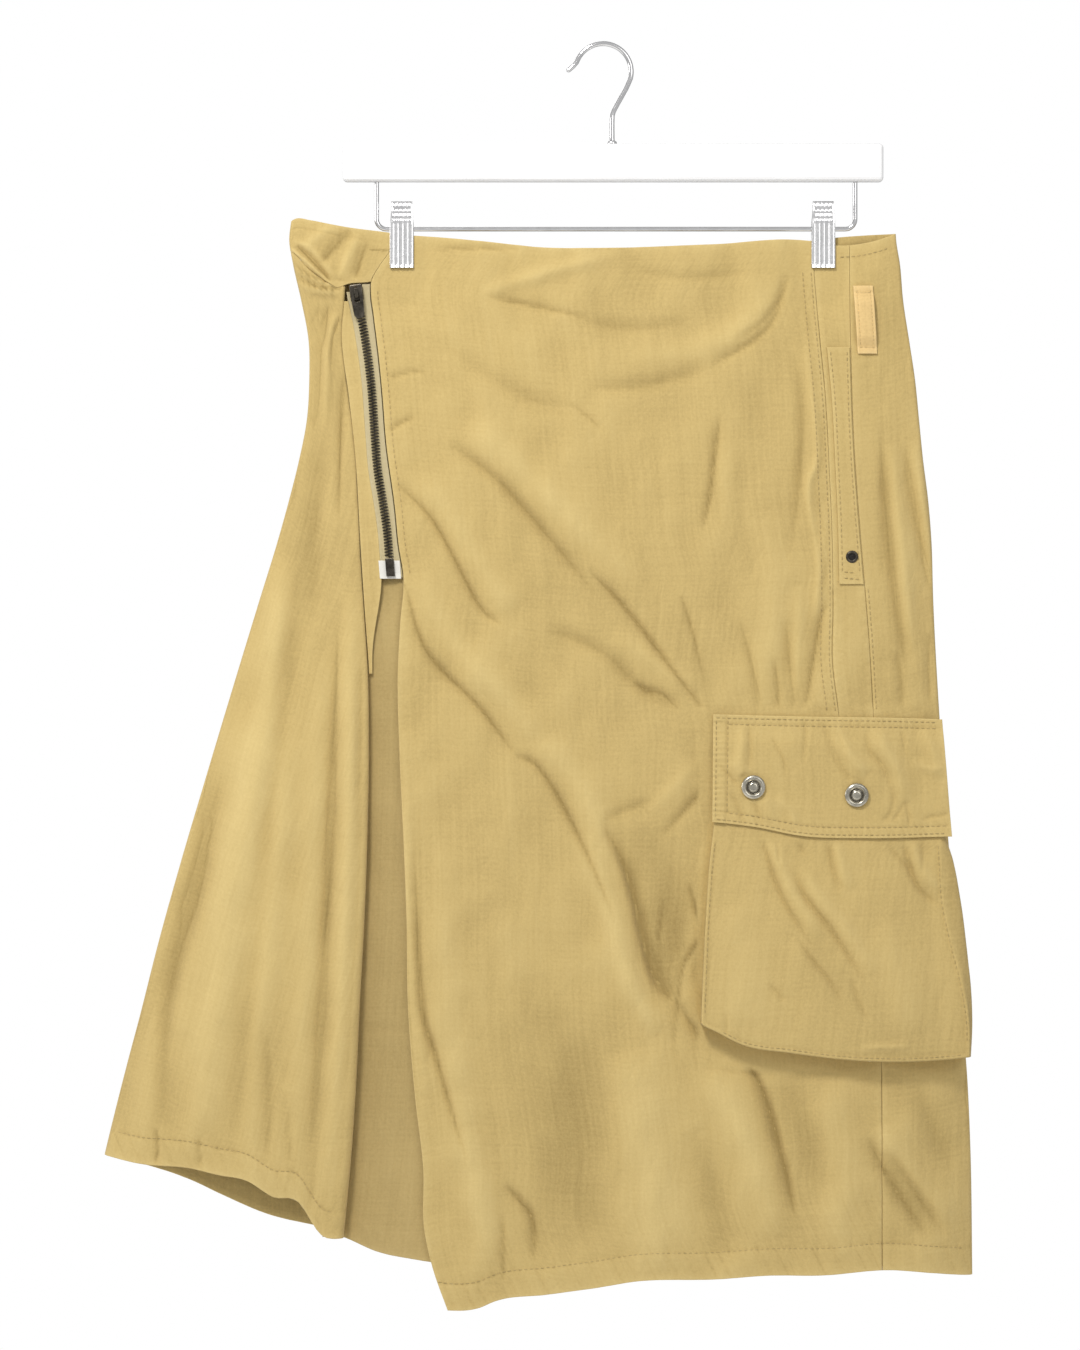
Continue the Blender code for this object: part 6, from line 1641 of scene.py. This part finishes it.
def make_stitches():
    """Every row of sewing that shows, on its own cloth."""
    hem_line = lambda rows: (lambda x: drop_at(rows, x) - HEM_DEEP)
    first, side = (lambda d: across(FIRST_SEAM, d)), (lambda d: across(SIDE_SEAM, d))
    flap_top, flap_foot = (lambda x: drop_at(FLAP_TOP, x)), (lambda x: drop_at(FLAP_FOOT, x))
    flap_left = lambda d: across(FLAP_SIDES, d, "left")
    runs = [
        cross_line(hem_line(FRONT_HEM), -108.0, 237.0, front_depth),
        cross_line(hem_line(LEFT_HEM), -316.0, -174.0, left_depth),
        down_line(lambda d: first(d) - 2.0, 146.0, 433.0, front_depth),
        down_line(lambda d: first(d) - 7.5, 146.0, 433.0, front_depth),
        down_line(lambda d: side(d) + 2.0, 352.0, 433.0, front_depth),
        down_line(lambda d: across(FRONT_LEFT_EDGE, d) + 4.5, 158.0, 345.0, front_depth),
        cross_line(lambda x: drop_at(FRONT_TOP, x) + 7.5, 153.0, 188.0, front_depth),
        down_line(lambda d: first(d) + 6.0, 198.0, 344.0, welt_depth),
        down_line(lambda d: side(d) - 2.6, 198.0, 346.0, welt_depth),
        cross_line(lambda x: 345.5 + (x - 152.0) * 0.1, 155.0, 167.5, welt_depth),
        cross_line(lambda x: 341.5 + (x - 152.0) * 0.1, 155.0, 163.0, welt_depth),
        cross_line(lambda x: flap_top(x) + 2.2, 72.0, 219.0, flap_depth),
        cross_line(lambda x: flap_top(x) + 6.2, 80.0, 219.0, flap_depth),
        cross_line(lambda x: flap_foot(x) - 2.2, 72.0, 225.0, flap_depth),
        cross_line(lambda x: flap_foot(x) - 7.0, 80.0, 225.0, flap_depth),
        down_line(lambda d: flap_left(d) + 2.0, 437.0, 502.0, flap_depth),
        down_line(lambda d: flap_left(d) + 9.5, 437.0, 500.0, flap_depth),
        cross_line(lambda x: drop_at(POCKET_FOOT, x) - 2.2, 76.0, 234.0, bag_depth),
        down_line(lambda d: across(POCKET_SIDES, d, "left") + 2.0, 516.0, 630.0, bag_depth),
        down_line(lambda d: across(POCKET_SIDES, d, "right") - 2.0, 518.0, 650.0, bag_depth),
    ]
    stitch_runs("front_stitches", runs, FINISH["thread"])
    back_depth = lambda x, drop: body_depth(x, drop) + back_relief(x, drop)
    rear = [
        behind(cross_line(hem_line(BACK_HEM), -312.0, 232.0, back_depth)),
        behind(cross_line(lambda x: drop_at(BACK_TOP, x) + 7.5, -190.0, 182.0, back_depth)),
        behind(down_line(lambda d: 6.0 + 0.0 * d, 142.0, 774.0, back_depth)),
    ]
    made = stitch_runs("back_stitches", [behind(run) for run in rear], FINISH["thread"])
    flip = np.empty(len(made.data.vertices) * 3, dtype=np.float32)
    made.data.vertices.foreach_get("co", flip)
    flip = flip.reshape(-1, 3) * np.array([1.0, -1.0, 1.0], dtype=np.float32)
    made.data.vertices.foreach_set("co", flip.ravel())
    made.data.flip_normals()
    loop_edge = lambda place: (lambda d: 162.4 + (d - 156.0) * 0.062 + 12.8 * place)
    loop = [
        down_line(loop_edge(0.16), 158.0, 199.0, loop_depth),
        down_line(loop_edge(0.84), 158.0, 199.0, loop_depth),
        cross_line(lambda x: 160.5 + 0.0 * x, 163.6, 174.6, loop_depth),
        cross_line(lambda x: 196.0 + 0.0 * x, 166.0, 177.0, loop_depth),
    ]
    stitch_runs("belt_loop_stitches", loop, FINISH["pale_thread"], 1.8, 0.7, 0.22)


def make_stage():
    """A pale floor well below the hem, soft lamps and the camera."""
    floor_mesh = bpy.data.meshes.new("floor")
    half, level = 1.8, -1.3
    corners = [(-half, -half, level), (half, -half, level), (half, half, level), (-half, half, level)]
    floor_mesh.from_pydata(corners, [], [(0, 1, 2, 3)])
    floor = bpy.data.objects.new("floor", floor_mesh)
    pale = plain_finish("pale_floor", (0.86, 0.86, 0.85), 0.7, 0.0, 30.0, 0.02, 0.01)
    floor_mesh.materials.append(pale)
    bpy.context.scene.collection.objects.link(floor)

    world = bpy.data.worlds.new("studio")
    bpy.context.scene.world = world
    world.use_nodes = True
    n = Nodes(world.node_tree)
    back = world.node_tree.nodes["Background"]
    back.inputs["Color"].default_value = (1.0, 1.0, 1.0, 1.0)
    seen = n.add("ShaderNodeLightPath").outputs["Is Camera Ray"]
    n.tree.links.new(n.spread(seen, 0.0, 1.0, 0.52, 1.0), back.inputs["Strength"])
    bpy.context.scene.view_settings.view_transform = "Standard"

    aim = np.array([-0.04, 0.0, -0.42])
    lamps = table("x y z size watts", (-0.6, -1.45, 1.0, 0.4, 27), (1.1, -2.0, 0.6, 1.2, 9),
                  (-0.6, 1.8, 0.7, 1.2, 16), (-1.9, -0.2, -0.1, 0.6, 7))
    for number, (x, y, z, size, watts) in enumerate(zip(*lamps.values())):
        lamp = bpy.data.lights.new(f"soft_lamp_{number}", "AREA")
        lamp.size = size
        lamp.energy = watts
        lamp.color = (1.0, 0.985, 0.96)
        holder = bpy.data.objects.new(lamp.name, lamp)
        holder.location = (x, y, z)
        toward = aim - np.array([x, y, z])
        holder.rotation_euler = (math.atan2(math.hypot(toward[0], toward[1]), -toward[2]),
                                 0.0, math.atan2(-toward[0], toward[1]))
        bpy.context.scene.collection.objects.link(holder)

    photo_high, scale, middle_x, middle_drop, away = 1350, 0.65, -41.0, 408.8, 3600.0
    camera = bpy.data.cameras.new("camera")
    camera.sensor_fit = "AUTO"
    camera.sensor_width = 36.0
    camera.lens = camera.sensor_width * away / (photo_high * scale)
    camera.clip_end = 50.0
    holder = bpy.data.objects.new("camera", camera)
    holder.location = (middle_x * MM, -away * MM, -middle_drop * MM)
    holder.rotation_euler = (QUARTER, 0.0, 0.0)
    bpy.context.scene.collection.objects.link(holder)
    bpy.context.scene.camera = holder


make_stage()
make_front()
make_front_side()
make_back()
make_left()
make_yoke()
make_underlap()
make_welt()
make_belt_loop()
make_zip_cloth()
make_zip_teeth()
make_slider_and_pull()
make_bag()
make_flap()
make_snaps()
make_eyelet()
make_hanger()
make_stitches()
